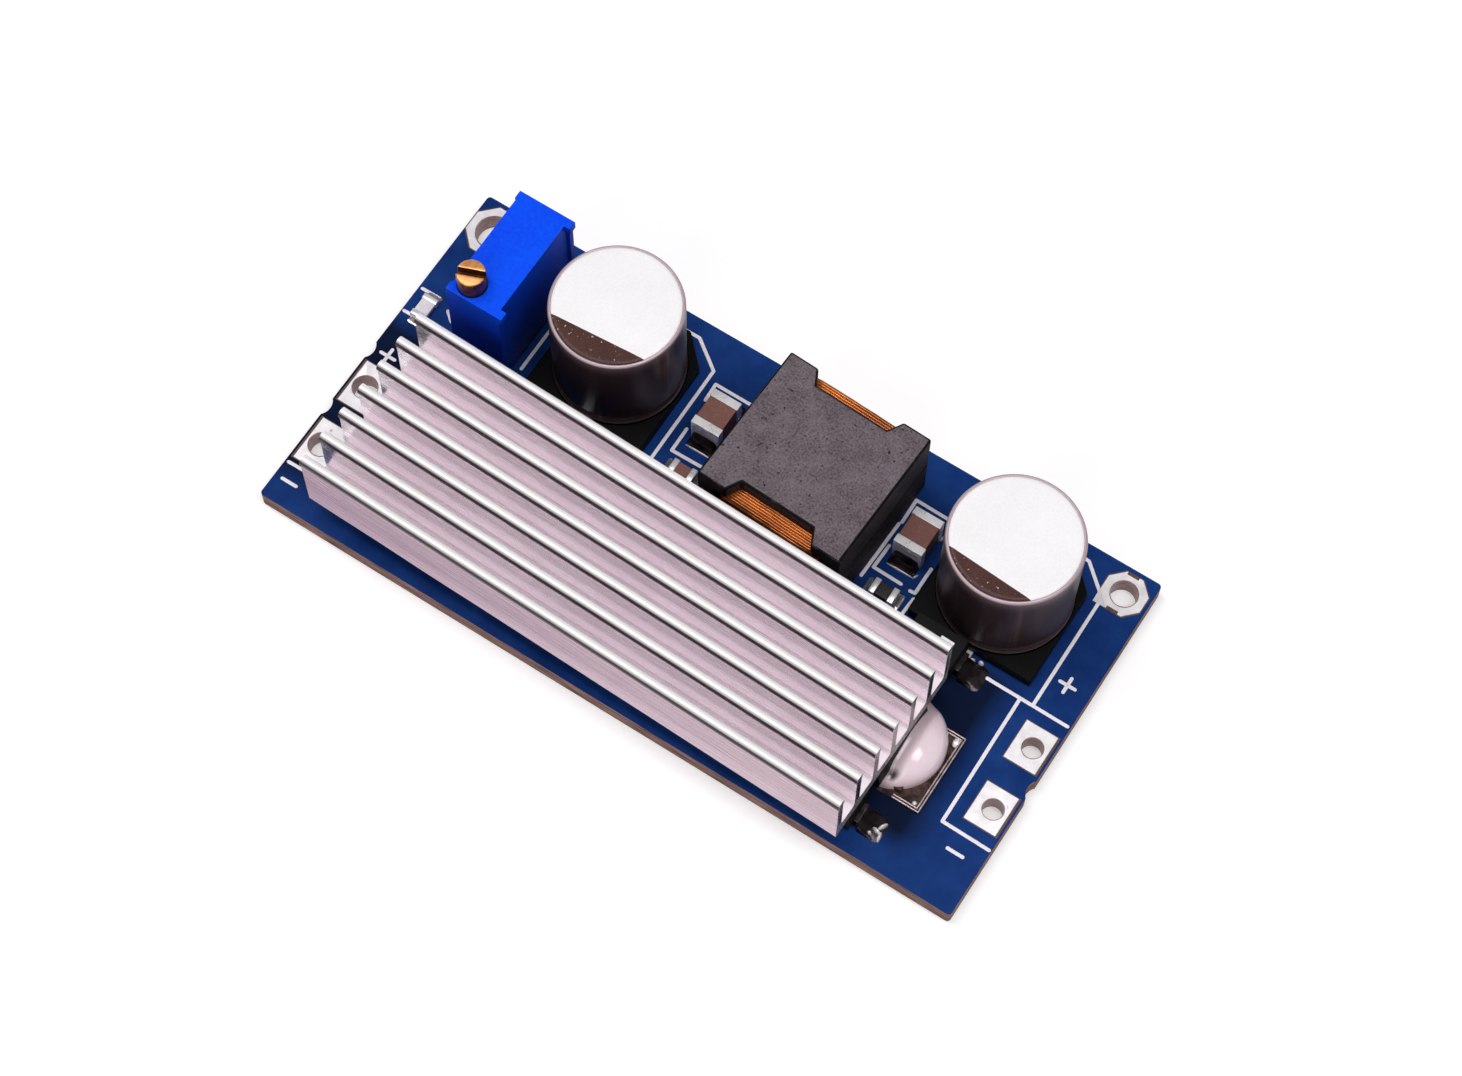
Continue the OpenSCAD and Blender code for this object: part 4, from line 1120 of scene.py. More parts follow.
@dataclass
class Studio:
    """Floor, light and camera, all in metres and degrees."""

    azimuth: float = 31.9
    elevation: float = 66.5
    roll: float = 1.0
    distance: float = 0.240
    focal_pixels: float = 3310.0
    aim: Triple = (0.0, 0.0, 0.003)
    aim_right: float = 0.00162
    aim_up: float = -0.00045
    sensor: float = 36.0
    clip: Point = (0.01, 20.0)
    floor_half: float = 4.0
    floor_tones: tuple[RGB, RGB] = ((236, 235, 236), (240, 239, 240))
    floor_grain: float = 0.02
    floor_glow: float = 0.25
    lamps: tuple[tuple[str, Triple, Point, float], ...] = (
        ("key", (0.0, -0.007, 0.6), (1.0, 0.22), 3.7),
        ("fill", (0.05, -0.5, 0.38), (0.4, 0.4), 0.8),
    )
    sky: float = 0.16
    sky_tone: Triple = (1.0, 0.98, 0.99)

    def build(self) -> None:
        """Make floor, world, lamps and camera."""
        self.floor()
        self.world()
        for row in self.lamps:
            self.lamp(*row)
        self.camera()

    def floor(self) -> None:
        """A pale floor that the camera sees as white and that keeps the shadow."""
        mesh = bpy.data.meshes.new("floor")
        h = self.floor_half
        mesh.from_pydata([(-h, -h, 0), (h, -h, 0), (h, h, 0), (-h, h, 0)], [], [(0, 1, 2, 3)])
        graph = Graph("pale_floor")
        path = graph.node("ShaderNodeLightPath").outputs
        seen = graph.math("MAXIMUM", path["Is Camera Ray"], path["Is Glossy Ray"])
        seen = graph.math("MAXIMUM", seen, path["Is Transmission Ray"])
        graph.set({
            "Base Color": graph.mix(graph.noise(graph.mm(), self.floor_grain), *self.floor_tones),
            "Roughness": 0.9,
            "Specular IOR Level": 0.0,
            "Emission Color": (1, 1, 1, 1),
            "Emission Strength": graph.math("MULTIPLY", seen, self.floor_glow),
        })
        mesh.materials.append(graph.material)
        add_object("floor", mesh)

    def world(self) -> None:
        """An even, dim sky."""
        world = bpy.data.worlds.new("studio")
        bpy.context.scene.world = world
        world.use_nodes = True
        back = world.node_tree.nodes["Background"]
        back.inputs["Color"].default_value = (*self.sky_tone, 1.0)
        back.inputs["Strength"].default_value = self.sky

    @staticmethod
    def lamp(name: str, place: Triple, size: Point, power: float) -> None:
        """A soft light that looks at the middle of the board.

        Args:
            name: The light's name.
            place: Where it stands.
            size: Its width and depth.
            power: Its power in watts.
        """
        light = bpy.data.lights.new(name, "AREA")
        light.shape = "RECTANGLE"
        light.size, light.size_y = size
        light.energy = power
        made = add_object(name, light)
        made.location = place
        made.rotation_euler = (-Vector(place)).to_track_quat("-Z", "Y").to_euler()

    def camera(self) -> None:
        """A camera at the photograph's angle."""
        a, e, r = (math.radians(turn) for turn in (self.azimuth, self.elevation, self.roll))
        towards = Vector((math.sin(a) * math.cos(e), -math.cos(a) * math.cos(e), math.sin(e)))
        right = Vector((math.cos(a), math.sin(a), 0))
        up = towards.cross(right)
        turned = right * math.cos(r) + up * math.sin(r)
        upright = up * math.cos(r) - right * math.sin(r)
        aim = Vector(self.aim) + right * self.aim_right + up * self.aim_up
        data = bpy.data.cameras.new("camera")
        data.sensor_width = self.sensor
        data.lens = self.focal_pixels / PHOTO_WIDTH * self.sensor
        data.clip_start, data.clip_end = self.clip
        made = add_object("camera", data)
        axes = Matrix((turned, upright, towards)).transposed().to_4x4()
        made.matrix_world = Matrix.Translation(aim + towards * self.distance) @ axes
        bpy.context.scene.camera = made
        bpy.context.scene.view_settings.view_transform = "Standard"


@dataclass
class CircuitBoard:
    """The board with its lands, plated holes and printed lines, in millimetres."""

    rounding: float = 0.05
    land_rounding: float = 0.025
    gap: float = 0.07
    end_gap: float = 0.17
    lap: float = 0.06
    sink: float = 0.01
    opening_height: float = 0.012
    mount_sides: Point = (4.1, 3.35)
    cut_share: float = 0.3
    nick: Point = (0.95, 0.24)
    nick_shift: float = -0.12
    nick_reach: float = 0.02
    nick_height: float = 0.008
    corner_drop: float = 0.001
    plating: Point = (0.998, 0.94)
    barrel_foot: float = 0.01
    barrel_height: float = 1.64
    barrel_steps: int = 48
    ink_width: float = 0.27
    ink_height: float = 0.026
    ink_lift: float = 0.003
    lines: tuple[Outline, ...] = (
        ((-19.25, 4.0), (-19.25, 11.5), (-17.1, 13.4), (-14.4, 13.4)),
        ((-11.6, 13.4), (-9.5, 13.4), (-7.12, 11.65), (-7.1, 3.0)),
        ((22.6, 1.74), (29.36, 1.69)),
        ((25.42, 1.7), (25.55, -9.2), (29.41, -9.26)),
        ((26.45, 1.75), (26.4, 11.6), (24.15, 13.6), (22.0, 13.6)),
        ((14.85, 6.8), (14.85, 4.55), (14.45, 4.5)),
        ((15.0, 4.1), (14.9, 2.6)),
        ((-6.34, 9.3), (-6.39, 10.81), (-3.0, 10.81)),
        ((-6.2, 6.57), (-6.18, 4.51), (-3.53, 4.56)),
        ((11.12, 8.82), (11.08, 10.9), (14.53, 10.84), (14.8, 8.7)),
        ((11.31, 6.73), (11.24, 4.67), (13.63, 4.61)),
        ((10.99, 8.6), (10.83, 3.64)),
        ((-29.3, -11.62), (-27.6, -11.58)),
        ((-29.29, 5.53), (-27.74, 5.55)),
        ((-29.37, 3.25), (-28.73, 3.26)),
        ((-26.6, 5.0), (-25.7, 5.3), (-25.85, 4.4), (-26.6, 5.0)),
    )
    plus_signs: tuple[Point, ...] = ((27.75, 4.4), (-28.2, -0.55))
    minus_signs: tuple[Point, ...] = ((27.5, -10.7), (-28.3, -12.95))
    sign_half: float = 0.62

    def build(self, strokes: GeoTree, spread: GeoTree) -> None:
        """Dress the board and add its holes' plating and printed lines.

        Args:
            strokes: The strokes tree.
            spread: The scatter tree.
        """
        Shaper.rounded(Shop.MASK, self.rounding, "circuit_board")
        Shaper.rounded(Shop.TIN, self.land_rounding, "input_lands", "output_lands", "mounting_lands")
        self.openings()
        self.output_mount()
        self.barrels(spread)
        self.ink(strokes)

    def openings(self) -> None:
        """Bare laminate that shows as a thin frame round each land."""
        pairs = []
        gap, lap = self.gap, self.lap
        for end, way in (("input", -1), ("output", 1)):
            low, high = low_high(f"{end}_lands")
            holes = Hole.named(f"{end}_wire")
            half = high.y - max(h.y for h in holes)
            left = low.x - (self.end_gap if way < 0 else gap)
            right = high.x + (self.end_gap if way > 0 else gap)
            for y in (hole.y for hole in holes):
                pairs.append((self.block(left, right, y - half - gap, y + half + gap),
                              self.block(low.x + lap, high.x - lap, y - half + lap, y + half - lap)))
        for hole, side in zip(Hole.named("mounting"), self.mount_sides):
            halves = (side / 2 + gap, side / 2 - lap)
            pairs.append(tuple(self.cut_square(hole, half, side * self.cut_share) for half in halves))
        shape = Shaper.plates(pairs, BOARD_TOP - self.sink, BOARD_TOP + self.opening_height)
        Shaper.solid("mask_openings", shape, Shop.LAMINATE)

    @staticmethod
    def block(left: float, right: float, front: float, rear: float) -> list[Point]:
        """A rectangle's corners, counter-clockwise."""
        return [(left, front), (right, front), (right, rear), (left, rear)]

    @staticmethod
    def cut_square(hole: Hole, half: float, cut: float) -> list[Point]:
        """A square round a hole with its corners cut off, counter-clockwise.

        Args:
            hole: The hole.
            half: Half the square's side.
            cut: How much of a side each corner takes.

        Returns:
            The corners.
        """
        h, c = half, half - cut
        offsets = ((h, -c), (h, c), (c, h), (-c, h), (-h, c), (-h, -c), (-c, -h), (c, -h))
        return [(hole.x + x, hole.y + y) for x, y in offsets]

    def output_mount(self) -> None:
        """The output mounting land's one whole corner, and the nicks in two of its sides."""
        hole, side = Hole.named("output_mounting")[0], self.mount_sides[1]
        h, cut = side / 2, side * self.cut_share
        top = heights("mounting_lands")[1]
        corner = [(hole.x - h + x, hole.y - h + y) for x, y in ((0, 0), (cut, 0), (0, cut))]
        shape = Shaper.plates([[corner]], BOARD_TOP, top - self.corner_drop)
        Shaper.solid("land_corner", shape, Shop.TIN)
        w, d = self.nick
        x = hole.x + self.nick_shift
        reach = h + self.nick_reach
        nicks = [[self.block(x - w / 2, x + w / 2, y, y + way * d)]
                 for y, way in ((hole.y - reach, 1), (hole.y + reach, -1))]
        shape = Shaper.plates(nicks, BOARD_TOP, top + self.nick_height)
        Shaper.solid("land_nicks", shape, Shop.LAMINATE)

    def barrels(self, spread: GeoTree) -> None:
        """The plating in every wire and mounting hole.

        Args:
            spread: The scatter tree.
        """
        outer, inner = self.plating
        ring = [(outer, 0.0), (outer, 1.0), (inner, 1.0), (inner, 0.0)]
        unit = Shaper.lathe(ring, (0, 0), self.barrel_steps)
        spots = [Spot((h.x, h.y, self.barrel_foot), 0.0, (h.r, h.r, self.barrel_height))
                 for h in Hole.named("hole")]
        Shaper.piece("hole_plating", scatter(spread, unit, spots, Shop.BARREL), Shop.BARREL)

    def ink(self, strokes: GeoTree) -> None:
        """White lines round the parts, and plain signs at the wire lands.

        Args:
            strokes: The strokes tree.
        """
        s = self.sign_half
        marks = [[(x - s, y), (x + s, y)] for x, y in (*self.plus_signs, *self.minus_signs)]
        marks += [[(x, y - s), (x, y + s)] for x, y in self.plus_signs]
        paths = [[(x, y, 0.0) for x, y in path] for path in (*self.lines, *marks)]
        mesh = strokes.run(polylines(paths), Shop.INK, Width=self.ink_width, Height=self.ink_height,
                           Level=BOARD_TOP + self.ink_lift)
        Shaper.piece("printed_lines", mesh, Shop.INK)


@dataclass
class PowerStage:
    """Regulator, rectifier diodes and their solder, half hidden under the heatsink."""

    land_rounding: float = 0.07
    lead_rounding: float = 0.08
    bead_half: Point = (3.75, 3.75)
    bead_powers: Point = (0.92, 0.82)
    bead_rings: int = 22
    bead_steps: int = 80
    lump: float = 0.05
    lump_scale: float = 0.55
    lump_level: float = 3.0
    dimple: Triple = (20.95, -8.5, 0.28)
    dimple_depth: float = 0.5
    press: Triple = (0.12, 0.4, 0.6)
    clearance: float = 0.005
    tab_half: float = 3.3
    rim_length: float = 2.2
    rim_lines: Point = (0.06, 0.27)
    rim_width: float = 0.12

    def build(self, strokes: GeoTree) -> None:
        """Dress the pieces and replace the adhesive by a poured bead.

        Args:
            strokes: The strokes tree.
        """
        self.tab_rim(strokes)
        Shaper.rounded(Shop.LOW_SHADED_SOLDER, self.land_rounding, "power_lands", steps=3)
        Shaper.dress(Shop.EPOXY, "regulator_body", "rear_diode_body", "front_diode_body")
        Shaper.dress(Shop.TAB_SHADE, "regulator_tab")
        Shaper.dress(Shop.ENDCAP, "regulator_leads")
        Shaper.rounded(Shop.SHADED_SOLDER, self.lead_rounding, "rear_diode_terminals", "front_diode_terminals")
        self.adhesive()

    def tab_rim(self, strokes: GeoTree) -> None:
        """Bright solder along both edges of the rim round the regulator's tab.

        Args:
            strokes: The strokes tree.
        """
        land, mid_y = low_high("power_lands")[1], middle("regulator_body").y
        paths = []
        for inset in self.rim_lines:
            start, end, reach = land.x - self.rim_length, land.x - inset, self.tab_half - inset
            corners = ((start, -reach), (end, -reach), (end, reach), (start, reach))
            paths.append([(x, mid_y + y, 0.0) for x, y in corners])
        mesh = strokes.run(polylines(paths), Shop.RIM, Width=self.rim_width, Height=self.rim_width,
                           Level=land.z)
        Shaper.piece("tab_rim_solder", mesh, Shop.RIM)

    def adhesive(self) -> None:
        """A film over the regulator and the egg that it presses out at the heatsink's end."""
        low, high = low_high("thermal_adhesive")
        foot = Vector((high.x - self.bead_half[0], high.y - self.bead_half[1], low.z + self.clearance))
        rise = high.z - low.z - 2 * self.clearance
        shape = bmesh.new()
        rows: list[Row] = []
        for ring in range(self.bead_rings + 1):
            turns = [2 * math.pi * k / self.bead_steps for k in range(self.bead_steps if ring else 1)]
            share = ring / self.bead_rings
            rows.append([shape.verts.new(self.bead_point(foot, rise, share, a)) for a in turns])
        for inner, outer in zip(rows, rows[1:]):
            Shaper.bridge(shape, inner, outer)
        shape.faces.new(rows[-1])
        film = CircuitBoard.block(low.x, foot.x, low.y, foot.y + self.bead_half[1] - self.clearance)
        under = heights("regulator_body")[1] + self.clearance
        Shaper.join(shape, Shaper.plates([[film]], under, high.z - self.clearance))
        Shaper.solid("adhesive_bead", Shaper.outwards(shape), Shop.ADHESIVE,
                     stands_for=["thermal_adhesive"], sharp=60)

    def bead_point(self, foot: Vector, rise: float, share: float, a: float) -> Vector:
        """A point on the bead.

        Args:
            foot: The middle of its underside.
            rise: Its height.
            share: How far out the point is, 1 at the rim.
            a: The point's direction from the middle.

        Returns:
            The point, in millimetres.
        """
        t = math.pi / 2 * share
        out = math.sin(t) ** self.bead_powers[0]
        up = max(math.cos(t), 0.0) ** self.bead_powers[1] if share < 1 else 0.0
        x = foot.x + self.bead_half[0] * out * math.cos(a)
        y = foot.y + self.bead_half[1] * out * math.sin(a)
        lump = self.lump * noise.noise(Vector((x, y, self.lump_level)) * self.lump_scale)
        away = (x - self.dimple[0]) ** 2 + (y - self.dimple[1]) ** 2
        dent = self.dimple_depth * math.exp(-away / (2 * self.dimple[2] ** 2))
        at, spread, depth = self.press
        pressed = (x - low_high("heatsink")[1].x - at) / spread
        dent += depth * math.exp(-pressed ** 2 / 2)
        height = rise * up * (1 + lump) - dent * up ** 0.5
        return Vector((x, y, foot.z + min(rise, max(height, 0.0))))


@dataclass
class Heatsink:
    """The finned extrusion, glued on a little askew."""

    length: float = 45.7
    base: float = 1.4
    fins: int = 7
    pitch: float = 2.28
    fin: float = 0.6
    bead: float = 0.84
    bead_steps: int = 22
    root: float = 0.3
    root_steps: int = 5
    skew: float = -1.4
    stations: int = 70
    waviness: float = 0.05
    burr: Triple = (1.1, 0.24, 0.16)
    burr_lap: Point = (0.02, 0.1)
    burr_rounding: float = 0.04

    def profile(self, height: float) -> list[Point]:
        """The extrusion's outline across its length.

        Args:
            height: The height from the underside to the beads' tops.

        Returns:
            The points in Y and Z, counter-clockwise.
        """
        half = (self.fins - 1) * self.pitch / 2
        outline = [(-half - self.fin / 2, 0.0), (half + self.fin / 2, 0.0)]
        middle_z = height - self.bead / 2
        neck = math.acos(self.fin / self.bead)
        arc = quarter(self.root_steps)
        for i in range(self.fins):
            y = half - i * self.pitch
            for k in range(self.bead_steps + 1):
                a = -neck + (math.pi + 2 * neck) * k / self.bead_steps
                outline.append((y + self.bead / 2 * math.cos(a), middle_z + self.bead / 2 * math.sin(a)))
            if i < self.fins - 1:
                for edge, sign in ((y - self.fin / 2, -1), (y - self.pitch + self.fin / 2, 1)):
                    outline += [(edge + sign * self.root * (1 - math.cos(a)),
                                 self.base + self.root * (1 - math.sin(a)))
                                for a in (arc if sign < 0 else arc[::-1])]
        return outline

    def build(self, extrusion: GeoTree) -> None:
        """Draw the profile out, turn it and put it on the regulator.

        Args:
            extrusion: The extrusion tree.
        """
        low, high = low_high("heatsink")
        height = high.z - low.z
        source = polylines([[(-y, -z, 0.0) for y, z in self.profile(height)]], closed=True)
        mesh = extrusion.run(source, Shop.HEATSINK, Length=self.length, Stations=self.stations,
                             Waviness=self.waviness)
        end, edge = self.length / 2, (self.fins - 1) * self.pitch / 2 + self.bead / 2
        long, wide, thick = self.burr
        flake = CircuitBoard.block(end - long, end - self.burr_lap[0], edge - self.burr_lap[1], edge + wide)
        shape = Shaper.plates([[flake]], height - self.bead / 2 - thick, height - self.bead / 2)
        Shaper.round_edges(shape, self.burr_rounding, 2)
        shape.transform(Matrix.Scale(MM, 4))
        shape.from_mesh(mesh)
        shape.to_mesh(mesh)
        shape.free()
        place = Vector((*middle("heatsink").xy, low.z))
        turn = Matrix.Rotation(math.radians(self.skew), 4, "Z")
        mesh.transform(Matrix.Translation(place * MM) @ turn)
        Shaper.piece("heatsink_extrusion", mesh, Shop.HEATSINK, stands_for=["heatsink"], sharp=40)


@dataclass
class Inductor:
    """Two notched ferrite halves round a wound copper coil."""

    skew: float = -2.4
    rounding: float = 0.17
    coil: Triple = (8.9, 11.65, 1.0)
    plate: float = 1.3
    play: float = 0.15
    wire_r: float = 0.125
    pitch: float = 0.205
    inset: float = 0.02
    top_rows: int = 6
    looseness: float = 0.16

    def build(self, wires: GeoTree) -> None:
        """Dress the core and lay the coil's outer wires.

        Args:
            wires: The wires tree.
        """
        Shaper.rounded(Shop.FERRITE, self.rounding, "inductor_core_upper", "inductor_core_lower", steps=3,
                       clamp=False)
        Shaper.dress(Shop.SHADE, "inductor_winding")
        source = polylines(self.loops(), closed=True)
        mesh = wires.run(source, Shop.COPPER, Radius=self.wire_r, Looseness=self.looseness)
        place = Vector((*middle("inductor_core_upper").xy, 0.0))
        turn = Matrix.Rotation(math.radians(self.skew), 4, "Z")
        mesh.transform(Matrix.Translation(place * MM) @ turn)
        Shaper.piece("winding_wires", mesh, Shop.COPPER, sharp=80)

    def loops(self) -> list[list[Triple]]:
        """The wires' paths round the coil's side and over its top, about its own axis.

        Returns:
            One closed path for each wire.
        """
        low = heights("inductor_core_lower")[0] + self.plate + self.play
        high = heights("inductor_winding")[1]
        rows = int((high - low) / self.pitch)
        levels = [(self.inset, low + self.wire_r + k * self.pitch) for k in range(rows)]
        levels += [(self.inset + self.wire_r + k * self.pitch, high) for k in range(self.top_rows)]
        w, d, r = self.coil
        return [[(x, y, z) for x, y in Shaper.rounded_loop(w - 2 * i, d - 2 * i, r - i)] for i, z in levels]


@dataclass
class Electrolytic:
    """A drawn can with a printed top on a moulded base."""

    name: str
    chord: float
    turn: float
    edge: float = 0.2
    ledge: float = 0.06
    flat_radius: float = 4.4
    print_radius: float = 4.74
    dip: float = 0.12
    dip_steps: int = 6
    skin: float = 0.012
    groove_rise: float = 1.15
    groove_depth: float = 0.16
    groove_half: float = 0.35
    steps: int = 8
    lip: float = 0.05
    lip_shape: tuple[Point, ...] = ((0.8, 0.65), (1.0, 0.5), (0.4, 0.36), (-1.6, 0.28), (-2.4, 0.0))
    base_rounding: float = 0.12

    def __post_init__(self) -> None:
        """Take the can's place and size from the frame."""
        self.low, self.high = low_high(f"{self.name}_can")
        self.centre = (self.low + self.high) / 2
        self.radius = (self.high.x - self.low.x) / 2

    def build(self) -> None:
        """Turn the can, print its top and dress base and leads."""
        mesh = Shaper.mesh(Shaper.lathe(self.section(), self.centre.xy), f"{self.name}_can")
        Shaper.piece(f"{self.name}_drawn_can", mesh, Shop.CAN, stands_for=[f"{self.name}_can"], sharp=70)
        Shaper.rounded(Shop.BASE, self.base_rounding, f"{self.name}_base")
        Shaper.dress(Shop.ENDCAP, f"{self.name}_leads")
        Shaper.piece(f"{self.name}_print", Shaper.mesh(self.cap(False), "print"), Shop.PRINT)
        Shaper.piece(f"{self.name}_mark", Shaper.mesh(self.cap(True), "mark"), Shop.MARK)

    def dome(self) -> list[Point]:
        """The printed part of the top, from its middle to where it dips at the rolled edge.

        Returns:
            Radius and height, point by point.
        """
        reach, top = self.print_radius - self.flat_radius, self.high.z
        return [(0.0, top)] + [(self.flat_radius + reach * math.sin(a), top - self.dip * (1 - math.cos(a)))
                               for a in quarter(self.dip_steps)]

    def section(self) -> list[Point]:
        """The can's half section from the middle of its top to the middle of its foot.

        Returns:
            Radius and height, point by point.
        """
        r, e, foot, n = self.radius, self.edge, self.low.z, self.steps
        points = self.dome()
        crown = self.high.z - self.ledge - e
        points += [(r - e + e * math.sin(a), crown + e * math.cos(a)) for a in quarter(n)]
        for k in range(-n, n + 1):
            z = foot + self.groove_rise - self.groove_half * k / n
            points.append((r - self.groove_depth * math.cos(math.pi / 2 * k / n) ** 2, z))
        points += [(r + self.lip * share, foot + rise) for share, rise in self.lip_shape]
        return [*points, (0.0, foot)]

    def cap(self, front: bool) -> BMesh:
        """The print on one side of the polarity chord, as a skin over the can's top.

        Args:
            front: Whether it is the side in front of the chord, not the one behind it.

        Returns:
            The skin as a closed shape.
        """
        upper = [(r, z + self.skin) for r, z in self.dome()]
        under = [(r, z - self.skin) for r, z in self.dome()[::-1]]
        shape = Shaper.lathe(upper + under, self.centre.xy)
        a = math.radians(self.turn)
        rearwards = Vector((-math.sin(a), math.cos(a), 0.0))
        whole = [*shape.verts, *shape.edges, *shape.faces]
        cut = bmesh.ops.bisect_plane(shape, geom=whole, plane_co=self.centre - rearwards * self.chord,
                                     plane_no=rearwards, clear_outer=front, clear_inner=not front)
        edges = [e for e in cut["geom_cut"] if isinstance(e, bmesh.types.BMEdge)]
        bmesh.ops.contextual_create(shape, geom=edges)
        return Shaper.outwards(shape)


@dataclass
class Chips:
    """Ceramic capacitors, small chips and the indicator, and the solder at all soldered ends."""

    ceramic_rounding: float = 0.14
    chip_rounding: float = 0.05
    ceramic_end: Triple = (0.85, 2.3, 1.0)
    chip_end: Triple = (0.5, 1.25, 0.4)
    lead_end: Triple = (0.7, 1.1, 0.24)
    diode_end: Triple = (1.75, 2.0, 0.85)
    fillet_points: tuple[int, int] = (13, 9)
    fillet_toe: float = 0.04
    fillet_fall: float = 2.2
    fillet_taper: float = 0.18
    drop_lift: float = 0.06
    drop_steps: tuple[int, int] = (6, 20)
    run_size: Point = (0.3, 0.4)
    rear_runs: tuple[tuple[float, ...], ...] = ((0.1, 0.9, 30, 0.7), (0.85, 1.1, 0, 0.45))
    front_runs: tuple[tuple[float, ...], ...] = (
        (1.42, 0.3, 62, 0.85), (1.2, -0.2, -15, 0.75), (1.6, -0.5, 100, 0.8), (0.85, -0.6, 0, 0.34),
    )
    ceramics: tuple[str, ...] = ("input_ceramic_terminals", "output_ceramic_terminals")
    chips: tuple[str, ...] = ("feedback_resistor_terminals", "bypass_chip_terminals")
    diodes: tuple[str, ...] = ("rear_diode_terminals", "front_diode_terminals")
    cans: tuple[str, ...] = ("input_capacitor_leads", "output_capacitor_leads")
    indicator: str = "indicator_terminals"

    def build(self, spread: GeoTree) -> None:
        """Round and dress the chips and add their solder.

        Args:
            spread: The scatter tree.
        """
        small = self.chip_rounding
        Shaper.rounded(Shop.CERAMIC, small, "input_ceramic_body", "output_ceramic_body", "bypass_chip_body")
        Shaper.rounded(Shop.GLAZE, small, "feedback_resistor_body")
        Shaper.rounded(Shop.RESIN, small, "indicator_body")
        Shaper.rounded(Shop.ENDCAP, self.ceramic_rounding, *self.ceramics, steps=3)
        Shaper.rounded(Shop.ENDCAP, small, *self.chips, self.indicator)
        for name, unit, spots, finish in (
            ("solder_fillets", self.fillet(), self.bright_ends(), Shop.SOLDER),
            ("dull_fillets", self.fillet(), self.shaded_ends(), Shop.SHADED_SOLDER),
            ("solder_drops", self.drop(), self.drops(), Shop.GLINT),
        ):
            Shaper.piece(name, scatter(spread, unit, spots, finish), finish, sharp=60)

    @staticmethod
    def end(node: str, turn: float, size: Triple) -> Spot:
        """The soldered end of a node.

        Args:
            node: The CAD node.
            turn: The way from its middle to the end, about Z, in degrees.
            size: The solder's reach, width and height.

        Returns:
            Where the solder goes.
        """
        low, high = low_high(node)
        centre, half = (low + high) / 2, (high - low) / 2
        a = math.radians(turn)
        return Spot((centre.x + half.x * math.cos(a), centre.y + half.y * math.sin(a), BOARD_TOP), turn, size)

    def bright_ends(self) -> list[Spot]:
        """The ends whose solder is clean.

        Returns:
            Where the solder goes.
        """
        made = [self.end(n, turn, self.chip_end) for turn in (0, 180) for n in self.chips]
        for turn in (-90, 90):
            made.append(self.end(self.indicator, turn, self.chip_end))
            made += [self.end(n, turn, self.lead_end) for n in self.cans]
        return made

    def shaded_ends(self) -> list[Spot]:
        """The ends whose solder is darkened as painted shade."""
        made = [self.end(n, turn, self.ceramic_end) for n in self.ceramics for turn in (-90, 90)]
        return made + [self.end(n, 0, self.diode_end) for n in self.diodes]

    def drops(self) -> list[Spot]:
        """Bright solder drops as painted highlights before the ceramics, at the diodes and in the tab land's
        corners.

        Returns:
            Where the solder goes.
        """
        made = []
        z = heights("power_lands")[0] + self.drop_lift
        for node in self.ceramics:
            low, high = low_high(node)
            made += [
                Spot(((low.x + high.x) / 2, low.y - 0.88, BOARD_TOP), 0, (2.3, 0.16, 0.14)),
                Spot((high.x + 0.05, low.y - 0.68, BOARD_TOP), 65, (0.5, 0.15, 0.14)),
                Spot((high.x + 0.12, high.y - 0.3, BOARD_TOP), 80, (0.5, 0.24, 0.3)),
            ]
        for node, runs in zip(self.diodes, (self.rear_runs, self.front_runs)):
            x, y, _ = self.end(node, 0, self.diode_end).place
            made += [Spot((x + dx, y + dy, z), turn, (reach, *self.run_size)) for dx, dy, turn, reach in runs]
        end, across = low_high("power_lands")[1].x, middle("regulator_body").y
        made.append(Spot((end - 0.48, across + 2.75, z), 0, (0.6, 0.85, 0.24)))
        made.append(Spot((end - 0.62, across - 2.78, z), 0, (0.4, 0.4, 0.3)))
        return made

    def drop(self) -> BMesh:
        """A flat-bottomed drop of unit length, width and height.

        Returns:
            The closed shape.
        """
        up, round_steps = self.drop_steps
        section = [(0.5 * math.sin(a), math.cos(a)) for a in quarter(up)]
        return Shaper.lathe([*section, (0.0, 0.0)], (0, 0), round_steps)

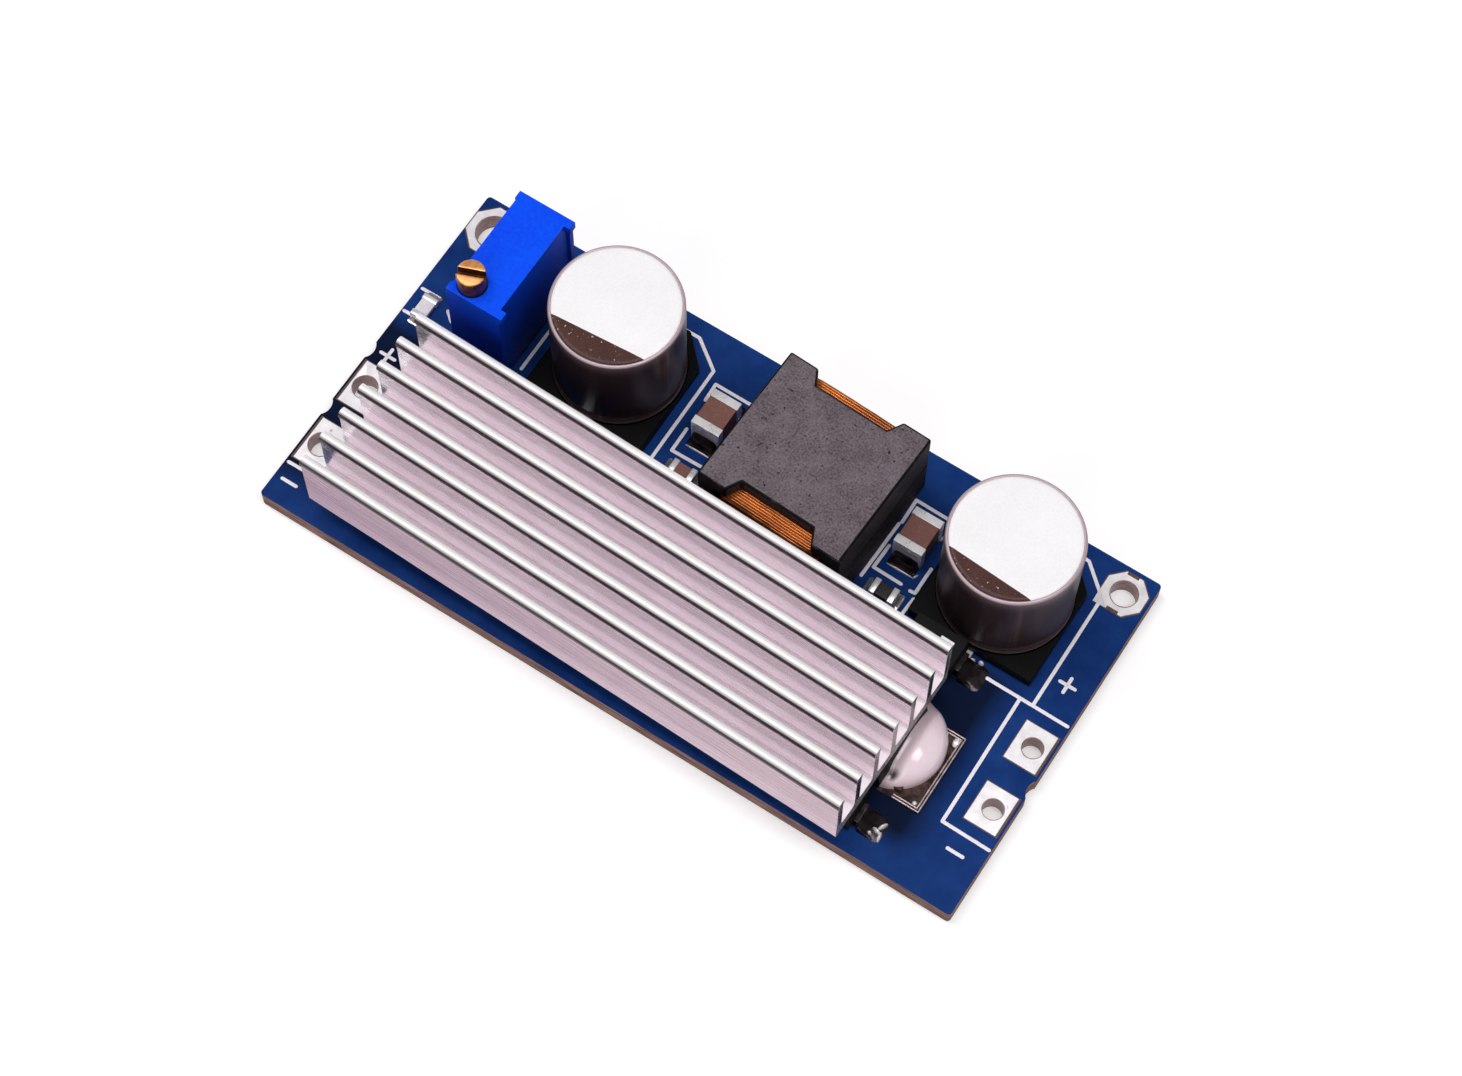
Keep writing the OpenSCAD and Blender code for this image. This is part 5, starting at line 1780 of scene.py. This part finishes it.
    def fillet(self) -> BMesh:
        """A hollow run of solder from an end down to its land, of unit reach, width and height.

        Returns:
            The closed shape.
        """
        shape = bmesh.new()
        across, along = self.fillet_points
        toe, taper = self.fillet_toe, self.fillet_taper
        top = []
        for i in range(across):
            u = 2 * i / (across - 1) - 1
            bulge = (1 - u ** 6) ** 0.5
            row = []
            for k in range(along):
                t = k / (along - 1)
                height = toe + (1 - toe) * bulge * (1 - t) ** self.fillet_fall if k < along - 1 else 0.0
                row.append(shape.verts.new((t * (1 - taper + taper * bulge), u / 2, height)))
            top.append(row)
        low = [shape.verts.new((0.0, row[0].co.y, 0.0)) for row in top]
        for a, b, c, d in zip(top, top[1:], low, low[1:]):
            for k in range(along - 1):
                shape.faces.new((a[k], a[k + 1], b[k + 1], b[k]))
            shape.faces.new((c, a[0], b[0], d))
        for row, foot in ((top[0], low[0]), (top[-1], low[-1])):
            shape.faces.new([foot, *row])
        shape.faces.new([*low, *(row[-1] for row in top[::-1])])
        return Shaper.outwards(shape)


@dataclass
class Trimmer:
    """The multi-turn trimmer: housing, screw and the pieces inside it."""

    housing_rounding: float = 0.1
    screw_rounding: float = 0.04

    def build(self) -> None:
        """Dress the housing, the screw and what they hold."""
        Shaper.rounded(Shop.BLUE, self.housing_rounding, "trimmer_housing")
        Shaper.rounded(Shop.BRASS, self.screw_rounding, "trimmer_screw", body=Body.SCREW)
        Shaper.dress(Shop.POTTING, "trimmer_base")
        Shaper.dress(Shop.RUBBER, "trimmer_seal")
        Shaper.dress(Shop.NYLON, "trimmer_carriage")
        Shaper.dress(Shop.SPRING, "trimmer_wiper")
        Shaper.dress(Shop.ALUMINA, "trimmer_element")
        Shaper.dress(Shop.SOLDER, "trimmer_pins", "trimmer_solder")


def main() -> None:
    """Build the studio and every sub-assembly."""
    logging.basicConfig(level=logging.INFO, format="%(name)s: %(message)s")
    Studio().build()
    strokes, spread = Trees.strokes(), Trees.scatter()
    CircuitBoard().build(strokes, spread)
    PowerStage().build(strokes)
    Heatsink().build(Trees.extrusion())
    Inductor().build(Trees.wires())
    Electrolytic("input_capacitor", chord=2.82, turn=4.2).build()
    Electrolytic("output_capacitor", chord=3.25, turn=-3.6).build()
    Chips().build(spread)
    Trimmer().build()


if __name__ == "__main__":
    main()
